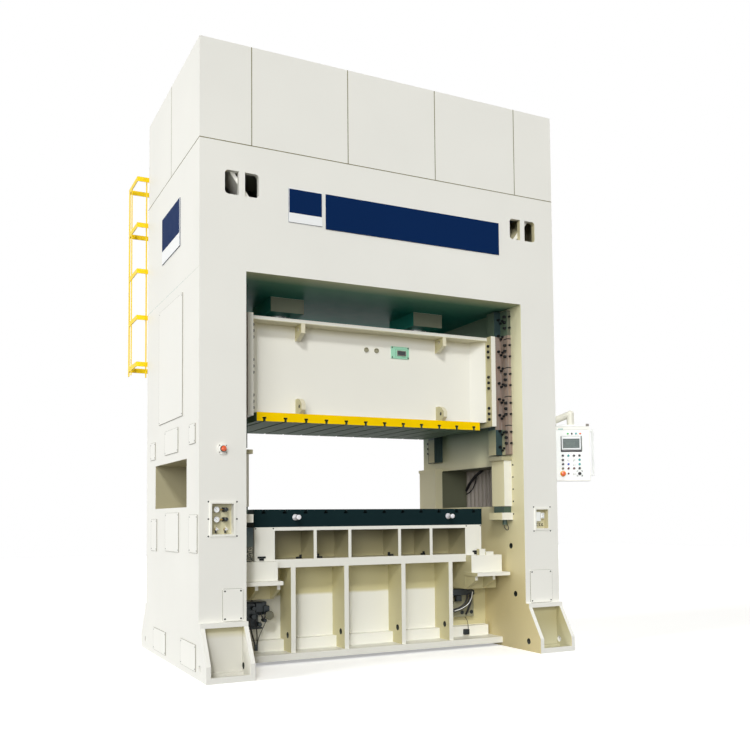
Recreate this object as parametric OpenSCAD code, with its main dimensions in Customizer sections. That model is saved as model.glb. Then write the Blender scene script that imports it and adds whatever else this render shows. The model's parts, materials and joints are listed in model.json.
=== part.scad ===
// Straight-side servo press: a welded frame of two uprights, a crown and a bed, with a
// guided slide driven by two screws, a T-slotted bolster and a control panel on a swing arm.
// Units are millimetres. X runs along the front, Y from front to rear, Z up from the floor.
// The origin lies on the floor, in the middle between the four feet.

/* [Frame] */
// Depth from the front face to the rear face
frame_d = 2440; // [2400:10:2600]
// Width of one upright, seen from the front
column_w = 500; // [480:5:520]
// Distance from a guide face of the slide to the upright beside it
gib_room = 136; // [130:1:150]
// Height of the crown's underside
crown_z = 4200; // [4180:5:4300]
// Height of the crown box
crown_h = 1355; // [1340:5:1420]
// Thickness of the crown's outer plates
crown_wall = 60; // [50:5:70]
// Thickness of the crown's floor, which carries the press force
crown_floor = 80; // [70:5:90]
// Thickness of the deck on top of the crown
deck_t = 40; // [30:5:50]

/* [Parapet] */
// Height of the parapet round the deck
parapet_h = 1075; // [1000:5:1150]
// Thickness of the parapet panels
parapet_t = 40; // [30:5:50]
// Width of one full parapet panel
parapet_w = 1125; // [1100:5:1140]
// Width of the seams between the parapet panels
seam = 6; // [4:1:10]
// Side of the square parapet posts
post_side = 80; // [70:5:90]

/* [Feet] */
// How far each foot reaches out from the frame
foot_reach = 280; // [240:5:320]
// Height of a foot's top plate above the floor
foot_h = 563; // [500:1:620]
// Height of the upright nose at the end of a foot
foot_nose = 170; // [140:5:200]
// Thickness of the foot's top plate and gussets
foot_plate = 48; // [40:2:56]
// Thickness of the foot's base plate
foot_base = 30; // [24:2:40]
// Height of the lip at the front of the base plate
foot_lip = 60; // [50:2:70]
// Reach of the foot's top plate
foot_top = 62; // [50:2:80]
// Diameter of an anchor bolt hole
anchor_d = 48; // [42:2:54]
// Distance between the two anchor holes of one foot
anchor_pitch = 220; // [200:5:240]
// Diameter of the lifting holes in the feet and uprights
lift_d = 70; // [60:2:80]

/* [Side windows] */
// Width of the window through each upright
window_w = 1470; // [1400:10:1500]
// Height of the window's sill above the floor
window_z = 1737; // [1725:1:1750]
// Height of the window opening
window_h = 513; // [480:1:530]
// Distance from the right side face to the corrugated shutter
shutter_set = 60; // [50:5:80]
// Distance between two ribs of the shutter
shutter_pitch = 98; // [90:1:104]
// Diameter of a shutter rib
shutter_rib = 84; // [76:2:88]

/* [Crown windows] */
// Distance of a window pair from the middle of the press
peep_x = 1795; // [1780:5:1810]
// Width of a window pair
peep_w = 372; // [360:2:380]
// Height of the windows
peep_h = 255; // [240:1:270]
// Height of their lower edge above the crown's underside
peep_up = 800; // [780:5:820]
// Width of the bar between the two windows of a pair
peep_bar = 66; // [60:2:72]
// Radius of the pair's outer corners
peep_r = 40; // [30:2:50]

/* [Bed] */
// Clearance between the bed and the floor
bed_z = 40; // [30:5:60]
// Height of the bed's top
bed_top = 1115; // [1110:1:1120]
// Depth of the bed from front to rear
bed_d = 1360; // [1340:10:1380]
// Thickness of the bed's top plate and ribs
bed_plate = 55; // [50:1:60]
// Half the width of the bed's top plate
bed_half = 1250; // [1240:1:1260]
// Thickness of the bed's bottom flange
bed_foot = 72; // [60:2:80]
// Depth of the bays in the front and the rear
bay_d = 344; // [330:2:350]
// Distance of the inner ribs from the middle
rib_in = 345; // [340:1:350]
// Distance of the outer ribs from the middle
rib_out = 1000; // [990:1:1010]
// Height of the ledge at the foot of each bay
ledge_h = 125; // [110:5:140]
// Depth of that ledge
ledge_d = 110; // [100:5:130]

/* [Riser] */
// Height of the riser between bed and bolster
riser_h = 397; // [390:1:405]
// How far the riser's ends stand back from the bolster's
riser_set = 10; // [5:1:20]
// Depth of the riser's pockets
pocket_d = 400; // [380:5:420]
// Distance of the middle pocket's edge from the middle
pocket_a = 307; // [300:1:312]
// Distance of the second pocket's outer edge from the middle
pocket_b = 740; // [735:1:745]
// Distance of the third pocket's outer edge from the middle
pocket_c = 1245; // [1235:1:1255]
// Thickness of the riser's plates and ribs
riser_t = 38; // [34:1:42]

/* [Bolster] */
// Distance from the bolster's end to the upright beside it
bolster_gap = 260; // [250:1:270]
// Thickness of the bolster
bolster_t = 198; // [190:1:205]
// Distance of the lifting pegs from the middle
peg_x = 1000; // [980:5:1020]
// Diameter of a lifting peg
peg_d = 44; // [40:1:50]
// Length of a lifting peg
peg_l = 120; // [100:5:130]

/* [T slots] */
// Number of T slots in the bolster and in the slide plate
slot_n = 12; // [10:2:12]
// Distance between two T slots
slot_pitch = 250; // [240:2:252]
// Width of a slot's throat
slot_w = 28; // [26:1:32]
// Width of a slot's head
head_w = 46; // [44:1:50]
// Height of a slot's head
head_h = 20; // [18:1:22]
// Depth from the face to the slot's head
throat = 28; // [26:1:30]

/* [Slide] */
// Half the width over the slide's guide faces
slide_half = 1614; // [1610:1:1618]
// Depth of the slide's side plates
slide_d = 1720; // [1700:10:1740]
// Thickness of the side plates
wing_t = 64; // [58:1:70]
// Height of the side plates
wing_h = 1130; // [1120:5:1140]
// Height of the slide plate's face at the top of the stroke
slide_z = 2690; // [2680:5:2700]
// Distance from the middle to the slide's front panel
panel_face = 580; // [570:5:590]
// Thickness of the slide's outer walls
slide_wall = 60; // [50:5:70]
// Distance from the middle to the front edge of the slide's top flange
flange_face = 770; // [760:5:780]
// Thickness of the top flange
flange_t = 43; // [38:1:48]
// Thickness of the lifting lugs
lug_t = 50; // [44:2:56]
// Distance of the lifting lugs from the middle
lug_x = 905; // [895:5:915]
// Height of the guide rails' lowest bolt group above the slide plate's face
rail_first = 200; // [190:5:210]
// Distance between two bolt groups of a guide rail
rail_pitch = 390; // [380:1:395]
// Height of the two plugs above the slide plate
plug_up = 823; // [815:1:830]
// Thickness of the T-slotted slide plate
plate_t = 100; // [90:2:110]
// How far the slide plate's ends stand back from the guide faces
plate_set = 151; // [140:1:160]
// Depth of the slide plate
plate_d = 1426; // [1400:2:1440]

/* [Guides] */
// Running gap between a guide face and its liner
guide_gap = 0.3; // [0.2:0.1:0.5]
// Thickness of the bronze liners
liner_t = 30; // [26:1:34]
// Width of a gib's bearing face from front to rear
gib_w = 160; // [150:5:180]
// Height of one gib block
block_h = 360; // [350:1:362]
// Depth of the gib blocks in front of the slide
block_w = 80; // [70:2:90]
// Thickness of the gib blocks
block_t = 50; // [46:1:54]

/* [Drive] */
// Distance of each screw from the middle
screw_x = 952; // [940:2:960]
// Diameter of the drive screws
screw_d = 200; // [180:5:210]
// Diameter of the plungers
plunger_d = 300; // [290:2:310]
// Running gap of shafts in their bores, on the radius
run_gap = 0.06; // [0.04:0.01:0.08]
// Side of the square plunger guides under the crown
guide_side = 416; // [404:4:430]
// Depth of the plunger guides
guide_deep = 660; // [640:10:680]
// How far the plunger guides hang below the crown
guide_drop = 172; // [150:2:180]
// Outer diameter of the bearing housings
house_d = 520; // [490:5:530]
// Diameter of the nut's journals
journal_d = 340; // [325:5:360]
// Face width of the gears
gear_face = 120; // [110:5:126]
// Diameter of the motor shafts
rotor_d = 120; // [110:2:130]
// Diameter of a servo motor
motor_d = 400; // [360:10:440]
// Height of a servo motor
motor_h = 820; // [760:10:880]
// Outer diameter of the balance cylinders
barrel_d = 250; // [240:2:256]
// Diameter of the balance cylinders' bores
barrel_bore = 200; // [190:2:206]
// Diameter of the balance cylinders' rods
balance_d = 90; // [80:2:100]

/* [Guards] */
// Thickness of the light guard posts
guard_t = 111; // [105:1:116]
// Height of the light guard posts
guard_h = 565; // [550:5:575]
// Width of the front guard posts from front to rear
guard_w = 267; // [260:1:275]

/* [Control panel] */
// Width of the control panel
box_w = 450; // [430:5:460]
// Height of the control panel
box_h = 684; // [660:2:700]
// Depth of the control panel
box_d = 110; // [100:5:120]
// Height of the control panel's lower edge above the floor
box_z = 2042; // [2020:2:2060]
// Sideways distance from the side face to the panel's swivel
swivel_x = 247; // [245:1:260]
// Distance from the front face back to the panel's swivel
swivel_y = 20; // [10:2:30]
// Angle by which the panel faces the left
box_turn = 26.6; // [20:0.2:32]
// Diameter of the swing arm's tube
arm_d = 92; // [86:2:100]
// Distance between two columns of push-buttons
key_x = 69; // [66:1:72]
// Distance between two rows of push-buttons
key_z = 53; // [50:1:56]
// Diameter of a push-button
key_d = 34; // [30:1:38]
// Diameter of the emergency stop buttons
stop_d = 57; // [52:1:62]
// Travel of the emergency stop buttons
stop_travel = 6; // [5:0.5:7]

/* [Name plates] */
// Left end of the front banner, from the middle
banner_left = 840; // [820:5:860]
// Right end of the front banner, from the middle
banner_right = 1440; // [1420:5:1460]
// Height of the banner's lower edge above the crown's underside
banner_up = 575; // [560:5:590]
// Height of the banner
banner_h = 390; // [380:5:400]
// Distance of the square plate's left end from the middle
square_left = 1275; // [1265:5:1285]
// Width of the square plate
square_w = 392; // [380:2:400]
// Height of the square plate
square_h = 374; // [370:2:380]
// Front end of the side plate, from the middle
side_front = 430; // [410:5:450]
// Rear end of the side plate, from the middle
side_rear = 410; // [390:5:430]
// Height of the side plate
side_h = 544; // [530:2:560]

/* [Front covers] */
// Height of the cover low on the left upright
left_cover_h = 325; // [310:5:335]
// Height of the cover low on the right upright
right_cover_h = 389; // [375:1:400]

/* [Air tank] */
// Diameter of the air tank on the deck
tank_d = 500; // [460:10:520]
// Length of the air tank
tank_l = 1600; // [1500:10:1700]

/* [Ladder] */
// Distance from the left side face to the middle of the ladder
ladder_set = 300; // [290:5:320]
// Width over the ladder's stringers
ladder_w = 480; // [460:10:500]
// Gap between the rear face and the stringers
ladder_gap = 30; // [20:5:40]
// How far the cage is wider than the ladder on each side
cage_out = 183; // [170:1:190]
// Depth of the cage behind the rear face
cage_d = 630; // [600:10:660]
// Height of the lowest hoop above the floor
hoop_low = 3557; // [3500:1:3600]
// Distance between two hoops
hoop_pitch = 600; // [580:5:610]
// Thickness of the ladder's flat bars
bar_t = 10; // [8:1:14]
// Width of the ladder's flat bars
bar_h = 60; // [50:2:70]

/* [Hidden] */
$fn = 48;
e = 1;

paint = [0.89, 0.885, 0.855];
steel = [0.62, 0.63, 0.63];
dark = [0.09, 0.16, 0.17];
bronze = [0.55, 0.40, 0.25];
black = [0.05, 0.06, 0.07];
navy = [0.04, 0.12, 0.28];
yellow = [0.98, 0.80, 0.05];
red = [0.85, 0.16, 0.08];

// faces and levels of the frame
inner = slide_half + gib_room;
half = inner + column_w;
face = frame_d / 2;
bolster_half = inner - bolster_gap;
riser_half = bolster_half - riser_set;
plate_half = slide_half - plate_set;
top_z = crown_z + crown_h;
room_z = crown_z + crown_floor;
peep_z = crown_z + peep_up;
bolster_z = bed_top + riser_h;
die_z = bolster_z + bolster_t;
wing = slide_d / 2;
body_z = slide_z + plate_t;
body_top = slide_z + 1163;

lift_y = 44;
lift_z = foot_lip + 58;

// drive train: screw and nut, large gear and pinion
tooth = 10;
gear_teeth = 60;
pinion_teeth = 20;
press_angle = 20;
gear_r = tooth * gear_teeth / 2;
pinion_r = tooth * pinion_teeth / 2;
mesh_x = gear_r + pinion_r;
backlash = 0.3;
stroke = 300;
gear_z = room_z + 510;
bridge_z = gear_z + gear_face + 30;
bridge_t = 120;
nut_top = bridge_z + bridge_t + 10;

// a block between two ends on each axis
module span(x, y, z) {
    translate([x[0], y[0], z[0]]) cube([x[1] - x[0], y[1] - y[0], z[1] - z[0]]);
}

// round bars along each axis
module rod_x(d, x, y, z) {
    translate([x[0], y, z]) rotate([0, 90, 0]) cylinder(h = x[1] - x[0], d = d);
}

module rod_y(d, x, y, z) {
    translate([x, y[1], z]) rotate([90, 0, 0]) cylinder(h = y[1] - y[0], d = d);
}

module rod_z(d, x, y, z) {
    translate([x, y, z[0]]) cylinder(h = z[1] - z[0], d = d);
}

module both_x() {
    children();
    mirror([1, 0, 0]) children();
}

module both_y() {
    children();
    mirror([0, 1, 0]) children();
}

// a plan outline in Y and Z, given a thickness along X
module side_plate(x, points) {
    translate([x[0], 0, 0]) rotate([90, 0, 90]) linear_extrude(height = x[1] - x[0]) polygon(points);
}

// ---------------------------------------------------------------- frame

module peep_cut() {
    x0 = peep_x - peep_w / 2;
    x1 = peep_x + peep_w / 2;
    hole = (peep_w - peep_bar) / 2;
    both_x() {
        intersection() {
            translate([0, -face + crown_wall + e, 0]) rotate([90, 0, 0]) linear_extrude(height = crown_wall + 2 * e)
                translate([x0 + peep_r, peep_z + peep_r]) union() {
                    square([peep_w - 2 * peep_r, peep_h - 2 * peep_r]);
                    translate([-peep_r, 0]) square([peep_w, peep_h - 2 * peep_r]);
                    translate([0, -peep_r]) square([peep_w - 2 * peep_r, peep_h]);
                    circle(r = peep_r);
                    translate([peep_w - 2 * peep_r, 0]) circle(r = peep_r);
                    translate([0, peep_h - 2 * peep_r]) circle(r = peep_r);
                    translate([peep_w - 2 * peep_r, peep_h - 2 * peep_r]) circle(r = peep_r);
                }
            union() {
                span([x0 - e, x0 + hole], [-face - 2 * e, -face + 2 * crown_wall], [peep_z - e, peep_z + peep_h + e]);
                span([x1 - hole, x1 + e], [-face - 2 * e, -face + 2 * crown_wall], [peep_z - e, peep_z + peep_h + e]);
            }
        }
    }
}

module crown() {
    gap = run_gap;
    color(paint) difference() {
        union() {
            difference() {
                span([-half, half], [-face, face], [crown_z, top_z]);
                span([-half + crown_wall, half - crown_wall], [-face + crown_wall, face - crown_wall], [room_z, top_z - deck_t]);
                peep_cut();
            }
            both_x() span([screw_x - guide_side / 2, screw_x + guide_side / 2], [-guide_deep / 2, guide_deep / 2], [crown_z - guide_drop, crown_z + e]);
            // slanted stays behind the windows
            both_x() translate([peep_x, -face + crown_wall - e, peep_z + peep_h / 2]) rotate([0, 35, 0]) translate([-20, 0, -260]) cube([40, 260, 520]);
        }
        both_x() rod_z(plunger_d + 2 * gap, screw_x, 0, [crown_z - guide_drop - e, room_z + e]);
        both_x() rod_z(balance_d + 20, screw_x, balance_y, [crown_z - e, room_z + e]);
        both_x() rod_z(rotor_d + 30, screw_x + mesh_x, 0, [top_z - deck_t - e, top_z + e]);
    }
}

// one foot at the front, on the right-hand side
module foot() {
    y0 = -face - foot_reach;
    difference() {
        union() {
            span([inner, half], [-face - foot_top, -face + e], [foot_h - foot_plate, foot_h]);
            span([inner, half], [y0, -face + e], [0, foot_base]);
            span([inner, half], [y0, y0 + 40], [0, foot_lip]);
            span([inner, half], [-face - 50, -face + e], [0, foot_lip]);
            for (x = [inner, half - foot_plate])
                side_plate([x, x + foot_plate], [
                    [-face + e, 0], [y0, 0], [y0, foot_nose],
                    [-face - foot_top, foot_h - foot_plate + e], [-face + e, foot_h - foot_plate + e]
                ]);
        }
        for (s = [-1, 1])
            rod_z(anchor_d, half - column_w / 2 + s * anchor_pitch / 2, -face - foot_reach / 2, [-e, foot_base + e]);
        rod_x(lift_d, [inner - e, half + e], -face - lift_y, lift_z);
    }
}

// the right-hand upright with its two feet
module upright() {
    difference() {
        union() {
            span([inner, half], [-face, face], [0, crown_z]);
            both_y() foot();
        }
        span([inner - e, half + e], [-window_w / 2, window_w / 2], [window_z, window_z + window_h]);
        rod_x(lift_d, [inner - e, inner + 60], -face + 288, bed_top + 132);
        rod_x(lift_d, [inner - e, inner + 60], -face + 208, foot_h + 101);
    }
}

module left_upright() {
    color(paint) difference() {
        mirror([1, 0, 0]) upright();
        span([-air_x - air_w / 2, -air_x + air_w / 2], [-face - e, -face + pocket_in], [air_z, air_z + air_h]);
    }
}

module right_upright() {
    color(paint) difference() {
        upright();
        span([junction_x - junction_w / 2, junction_x + junction_w / 2], [-face - e, -face + pocket_in], [junction_z, junction_z + junction_h]);
    }
}

module bed() {
    y0 = bed_d / 2;
    back = y0 - bay_d;
    color(paint) {
        difference() {
            union() {
                span([-inner, inner], [-back, back], [bed_z, bed_top]);
                span([-bed_half, bed_half], [-y0, y0], [bed_top - bed_plate, bed_top]);
                span([-inner, inner], [-y0 - 40, y0 + 40], [bed_z, bed_z + bed_foot]);
                both_x() both_y() {
                    span([rib_in, rib_in + bed_plate], [-y0, -back + e], [bed_z, bed_top]);
                    span([rib_out, rib_out + bed_plate], [-y0, -back + e], [bed_z, bed_top]);
                }
                both_y() span([-rib_out, rib_out], [-back - ledge_d, -back + e], [bed_z + bed_foot - e, bed_z + bed_foot + ledge_h]);
                both_x() both_y() span([rib_out, inner - 30], [-back - ledge_d, -back + e], [bed_z + bed_foot - e, bed_z + bed_foot + ledge_h]);
            }
            both_y() both_x() rod_x(lift_d, [rib_in - e, rib_out + bed_plate + e], -y0 + 110, bed_z + bed_foot + ledge_h + 60);
        }
    }
}

module bed_riser() {
    y0 = bed_d / 2;
    z0 = bed_top + riser_t;
    z1 = bolster_z - riser_t;
    color(paint) difference() {
        span([-riser_half, riser_half], [-y0, y0], [bed_top, bolster_z]);
        both_y() {
            span([-pocket_a, pocket_a], [-y0 - e, -y0 + pocket_d], [z0, z1]);
            both_x() span([pocket_a + riser_t, pocket_b], [-y0 - e, -y0 + pocket_d], [z0, z1]);
            both_x() span([pocket_b + riser_t, pocket_c], [-y0 - e, -y0 + pocket_d], [z0, z1]);
        }
    }
}

// the T slots under a face at height 0, for a plate of depth d
module t_slots(d) {
    for (i = [0 : slot_n - 1]) {
        x = (i - (slot_n - 1) / 2) * slot_pitch;
        span([x - slot_w / 2, x + slot_w / 2], [-d / 2 - e, d / 2 + e], [-throat - e, e]);
        span([x - head_w / 2, x + head_w / 2], [-d / 2 - e, d / 2 + e], [-throat - head_h, -throat]);
    }
}

module bolster() {
    color(dark) difference() {
        span([-bolster_half, bolster_half], [-bed_d / 2, bed_d / 2], [bolster_z, die_z]);
        translate([0, 0, die_z]) t_slots(bed_d);
    }
}

module bolster_pegs() {
    z = bolster_z + bolster_t * 0.55;
    y = bed_d / 2;
    color(steel) both_x() both_y() {
        rod_y(peg_d, peg_x, [-y - peg_l, -y], z);
        rod_y(peg_d + 12, peg_x, [-y - peg_l, -y - peg_l + 16], z);
        rod_y(peg_d + 26, peg_x, [-y - 36, -y], z);
    }
}

// ---------------------------------------------------------------- parapet

module parapet_front() {
    color(paint) {
        span([-parapet_w / 2 + seam / 2, parapet_w / 2 - seam / 2], [-face, -face + parapet_t], [top_z, top_z + parapet_h]);
        both_x() span([parapet_w / 2 + seam / 2, parapet_w * 1.5 - seam / 2], [-face, -face + parapet_t], [top_z, top_z + parapet_h]);
        both_x() span([parapet_w * 1.5 + seam / 2, half], [-face, -face + parapet_t], [top_z, top_z + parapet_h]);
    }
}

module parapet_rear() {
    color(paint) {
        span([-parapet_w / 2 + seam / 2, parapet_w / 2 - seam / 2], [face - parapet_t, face], [top_z, top_z + parapet_h]);
        span([parapet_w / 2 + seam / 2, parapet_w * 1.5 - seam / 2], [face - parapet_t, face], [top_z, top_z + parapet_h]);
        span([parapet_w * 1.5 + seam / 2, half], [face - parapet_t, face], [top_z, top_z + parapet_h]);
        span([-parapet_w * 1.5 + seam / 2, -parapet_w / 2 - seam / 2], [face - parapet_t, face], [top_z, top_z + parapet_h]);
    }
}

module parapet_side() {
    both_y() span([half - parapet_t, half], [-face + parapet_t + 2, -seam / 2], [top_z, top_z + parapet_h]);
}

module parapet_left() {
    color(paint) mirror([1, 0, 0]) parapet_side();
}

module parapet_right() {
    color(paint) parapet_side();
}

module parapet_posts() {
    x0 = half - parapet_t;
    y0 = face - parapet_t;
    s = post_side;
    color(paint) {
        both_x() both_y() span([x0 - s, x0], [-y0, -y0 + s], [top_z, top_z + parapet_h - 20]);
        both_x() both_y() span([parapet_w / 2 - s / 2, parapet_w / 2 + s / 2], [-y0, -y0 + s], [top_z, top_z + parapet_h - 20]);
        both_x() both_y() span([parapet_w * 1.5 - s / 2, parapet_w * 1.5 + s / 2], [-y0, -y0 + s], [top_z, top_z + parapet_h - 20]);
        both_x() span([x0 - s, x0], [-s / 2, s / 2], [top_z, top_z + parapet_h - 20]);
    }
}

// ---------------------------------------------------------------- covers and plates

cover_t = 8;
screw_in = 22;
// the side covers: front edge, rear edge, lower edge, upper edge
side_cover = [
    [-560, 550, 2730, 4075], [-370, 240, 2350, 2620], [745, 995, 2335, 2542], [-1090, -850, 2392, 2595],
    [646, 937, 1236, 1612], [-410, 203, 1252, 1680], [-1172, -855, 1265, 1653], [180, 796, 63, 319],
    [-1121, -518, 73, 339]
];

module side_covers() {
    color(paint) both_x() for (c = side_cover) difference() {
        span([half, half + cover_t], [c[0], c[1]], [c[2], c[3]]);
        for (y = [c[0] + screw_in, c[1] - screw_in])
            for (z = [c[2] + screw_in, c[3] - screw_in])
                rod_x(14, [half + cover_t - 4, half + cover_t + e], y, z);
    }
}

module front_cover(x, z) {
    span([x[0], x[1]], [-face - cover_t, -face], [z[0], z[1]]);
}

module front_covers() {
    color(paint) {
        front_cover([-half + 248, -half + 460], [foot_h + 8, foot_h + 8 + left_cover_h]);
        front_cover([half - 430, half - 109], [foot_h + 6, foot_h + 6 + right_cover_h]);
    }
}

module name_plates() {
    z0 = crown_z + banner_up;
    color(navy) {
        span([-banner_left, banner_right], [-face - cover_t, -face], [z0, z0 + banner_h]);
        span([-square_left, -square_left + square_w], [-face - cover_t, -face], [z0 + 20, z0 + 20 + square_h]);
        span([-half - cover_t, -half], [-side_front, side_rear], [z0 - 143, z0 - 143 + side_h]);
    }
}

module window_shutter() {
    x = half - shutter_set;
    n = floor((window_w - shutter_rib) / shutter_pitch) + 1;
    z = [window_z, window_z + window_h];
    color(steel) {
        span([x + shutter_rib / 2 - 8, x + shutter_rib / 2 + 12], [-window_w / 2, window_w / 2], z);
        for (i = [0 : n - 1])
            rod_z(shutter_rib, x, (i - (n - 1) / 2) * shutter_pitch, z);
    }
}

// ---------------------------------------------------------------- guides

gib_top = crown_z - 25;
gib_z = gib_top - 5 * block_h;
gib_y = wing - 20;

// an upright strip beside the slide, the same in all four corners
module corners() {
    both_x() both_y() children();
}

module gib_blocks() {
    y0 = -wing - 60 - block_w;
    color(paint) corners() difference() {
        span([inner - block_t, inner], [y0, y0 + block_w], [gib_z, gib_top]);
        for (i = [1 : 4])
            span([inner - block_t - e, inner - block_t + 6], [y0 - e, y0 + block_w + e], [gib_z + i * block_h - 2, gib_z + i * block_h + 2]);
        for (i = [1 : 4])
            span([inner - block_t - e, inner + e], [y0 - e, y0 + 6], [gib_z + i * block_h - 2, gib_z + i * block_h + 2]);
    }
}

module gib_bars() {
    x0 = slide_half + guide_gap + liner_t;
    color(steel) corners() {
        span([x0, inner - 40], [-gib_y, -gib_y + gib_w], [gib_z, gib_top]);
        span([inner - 40, inner], [-wing - 60, -gib_y + gib_w], [gib_z, gib_top]);
    }
}

module gib_liners() {
    x0 = slide_half + guide_gap;
    color(bronze) corners() difference() {
        span([x0, x0 + liner_t], [-gib_y, -gib_y + gib_w], [gib_z, gib_top]);
        // oil grooves
        for (i = [0 : 8])
            span([x0 - e, x0 + 3], [-gib_y + 20, -gib_y + gib_w - 20], [gib_z + 100 + i * 200, gib_z + 108 + i * 200]);
    }
}

module gib_bolts() {
    y0 = -wing - 60 - block_w / 2;
    x1 = slide_half + guide_gap + liner_t;
    color(steel) corners() {
        for (i = [0 : 4])
            for (k = [-1, 0, 1])
                rod_x(30, [inner - block_t - 18, inner - block_t], y0, gib_z + block_h * (i + 0.5) + k * 105);
        for (i = [0 : 8])
            rod_y(24, (x1 + inner - 40) / 2, [-gib_y - 14, -gib_y], gib_z + 100 + i * 200);
    }
}

// ---------------------------------------------------------------- light guards

// the front right light guard with the box under it
module guard_front() {
    y0 = -face + 252;
    y1 = y0 + guard_w;
    z0 = window_z;
    z1 = z0 + guard_h;
    span([inner - guard_t, inner], [y0, y1], [z0, z1]);
    span([inner - guard_t - 39, inner], [y0 - 17, y1 + 10], [z1, z1 + 45]);
    span([inner - guard_t + 6, inner], [y0 + 20, y1 - 30], [z0 - 80, z0]);
    span([inner - 156, inner], [y0 - 13, y1], [z0 - 170, z0 - 80]);
    rod_z(60, inner - 60, y0 + 70, [z0 - 230, z0 - 170]);
    for (z = [z0 + 60, z0 + 200, z0 + 340, z1 - 60])
        rod_y(16, inner - 18, [y0 - 5, y0], z);
}

module guard_front_right() {
    color(paint) guard_front();
}

module guard_front_left() {
    color(paint) mirror([1, 0, 0]) guard_front();
}

module guard_rear() {
    y0 = face - 520;
    z0 = window_z - 30;
    span([inner - guard_t, inner], [y0, y0 + 450], [z0, z0 + guard_h - 30]);
    span([inner - guard_t - 10, inner], [y0 - 10, y0 + 460], [z0 + guard_h - 30, z0 + guard_h + 10]);
}

module guard_rear_right() {
    color(paint) guard_rear();
}

module guard_rear_left() {
    color(paint) mirror([1, 0, 0]) guard_rear();
}

// ---------------------------------------------------------------- bed devices

// the right-hand bracket for a die changer, beside the bed
module die_bracket() {
    y0 = bed_d / 2;
    back = y0 - bay_d;
    x0 = bed_half + 4;
    top = bed_top + 22;
    x1 = inner - 50;
    span([x0, x1], [-y0 - 120, -y0 - 2], [top - 207, top]);
    span([x0, x1], [-y0 - 3, -back], [top - 207, bed_top - 3]);
    span([x0, x1], [-y0 + 20, -back], [top - 417, top - 206]);
    span([x0 - 10, inner - 29], [-y0 - 266, -y0 + 40], [top - 249, top - 207]);
    for (x = [x0 + 2, inner - 242])
        side_plate([x, x + 35], [
            [-y0 - 200, top - 248], [-y0 - 200, top - 300], [-y0 + 20, top - 417],
            [-back, top - 417], [-back, top - 248]
        ]);
}

module die_bracket_left() {
    color(paint) mirror([1, 0, 0]) die_bracket();
}

module die_bracket_right() {
    y0 = bed_d / 2;
    z0 = bed_top + 22;
    color(paint) {
        die_bracket();
        span([inner - 270, inner - 158], [-y0 - 100, -y0 - 10], [z0, z0 + 40]);
        span([inner - 358, inner - 273], [-y0 - 90, -y0 - 30], [z0, z0 + 75]);
    }
}

// a valve block with a handwheel and its pipes down to the ledge
module valve_unit() {
    back = -bed_d / 2 + bay_d;
    x0 = -inner + 210;
    z0 = 377;
    ledge_z = bed_z + bed_foot + ledge_h;
    color(black) {
        span([x0, x0 + 311], [back - 40, back], [z0, z0 + 321]);
        span([x0 + 40, x0 + 280], [back - 150, back - 40], [z0 + 60, z0 + 250]);
        span([x0 + 70, x0 + 150], [back - 150, back - 50], [z0 - 60, z0 + 60]);
        rod_y(70, x0 + 217, [back - 200, back - 150], z0 + 189);
        rod_y(110, x0 + 217, [back - 216, back - 200], z0 + 189);
        rod_y(80, x0 + 100, [back - 170, back - 150], z0 + 200);
        for (x = [20, 240, 290])
            rod_z(18, x0 + x, back - 20, [ledge_z, z0]);
    }
}

// a mounting plate with a small pump, and a sensor on the ledge below
module lube_unit() {
    back = -bed_d / 2 + bay_d;
    x0 = inner - 540;
    z0 = 350;
    plate_w = 320;
    plate_h = 340;
    color(steel) {
        difference() {
            span([x0, x0 + plate_w], [back - 30, back], [z0, z0 + plate_h]);
            translate([x0, back + e, z0]) rotate([90, 0, 0]) linear_extrude(height = 32 + e)
                polygon([[-e, 140], [-e, plate_h + e], [180, plate_h + e]]);
            rod_y(44, x0 + 146, [back - 31, back + e], z0 + 55);
            rod_y(44, x0 + 285, [back - 31, back + e], z0 + 55);
        }
        span([x0 + 190, x0 + 300], [back - 100, back - 29], [z0 + 170, z0 + 300]);
        span([x0 + 107, x0 + 184], [back - ledge_d - 30, back - ledge_d], [138, 205]);
        rod_z(14, x0 + 175, back - ledge_d - 14, [204, z0 + 20]);
        span([x0 + 165, x0 + 185], [back - ledge_d - 22, back - 29], [z0 + 4, z0 + 24]);
    }
}

// ---------------------------------------------------------------- column fittings

pocket_in = 90;
air_x = half - 248;
air_w = 228;
air_z = 1452;
air_h = 313;
junction_x = half - 238;
junction_w = 183;
junction_z = 1461;
junction_h = 230;

// a raised rim round a pocket in the front of an upright
module rim(x, w, z, h, b) {
    difference() {
        span([x - w / 2 - b, x + w / 2 + b], [-face - 12, -face], [z - b, z + h + b]);
        span([x - w / 2, x + w / 2], [-face - 13, -face + e], [z, z + h]);
    }
}

module air_panel() {
    color(paint) {
        rim(-air_x, air_w, air_z, air_h, 22);
        span([-air_x - air_w / 2, -air_x + air_w / 2], [-face + pocket_in - 12, -face + pocket_in], [air_z, air_z + air_h]);
    }
}

knob_x = -air_x + 40;
knob_z = [air_z + 152, air_z + 253];
knob_d = 44;
spindle_d = 14;

module air_gauges() {
    y1 = -face + pocket_in - 12;
    color(black) {
        for (z = knob_z) difference() {
            union() {
                rod_y(63, -air_x - 60, [-face + 10, -face + 38], z);
                rod_y(24, -air_x - 60, [-face + 38, y1], z);
                rod_x(30, [-air_x - 60, knob_x], y1 - 16, z);
                rod_y(40, knob_x, [-face + 34, y1], z);
            }
            rod_y(spindle_d + 2 * run_gap, knob_x, [-face + 34 - e, -face + 62], z);
        }
        for (x = [-air_x - 58, -air_x + 42]) {
            rod_y(26, x, [-face + 24, y1], air_z + 50);
            rod_z(26, x, -face + 40, [air_z + 14, air_z + 62]);
        }
    }
}

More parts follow.
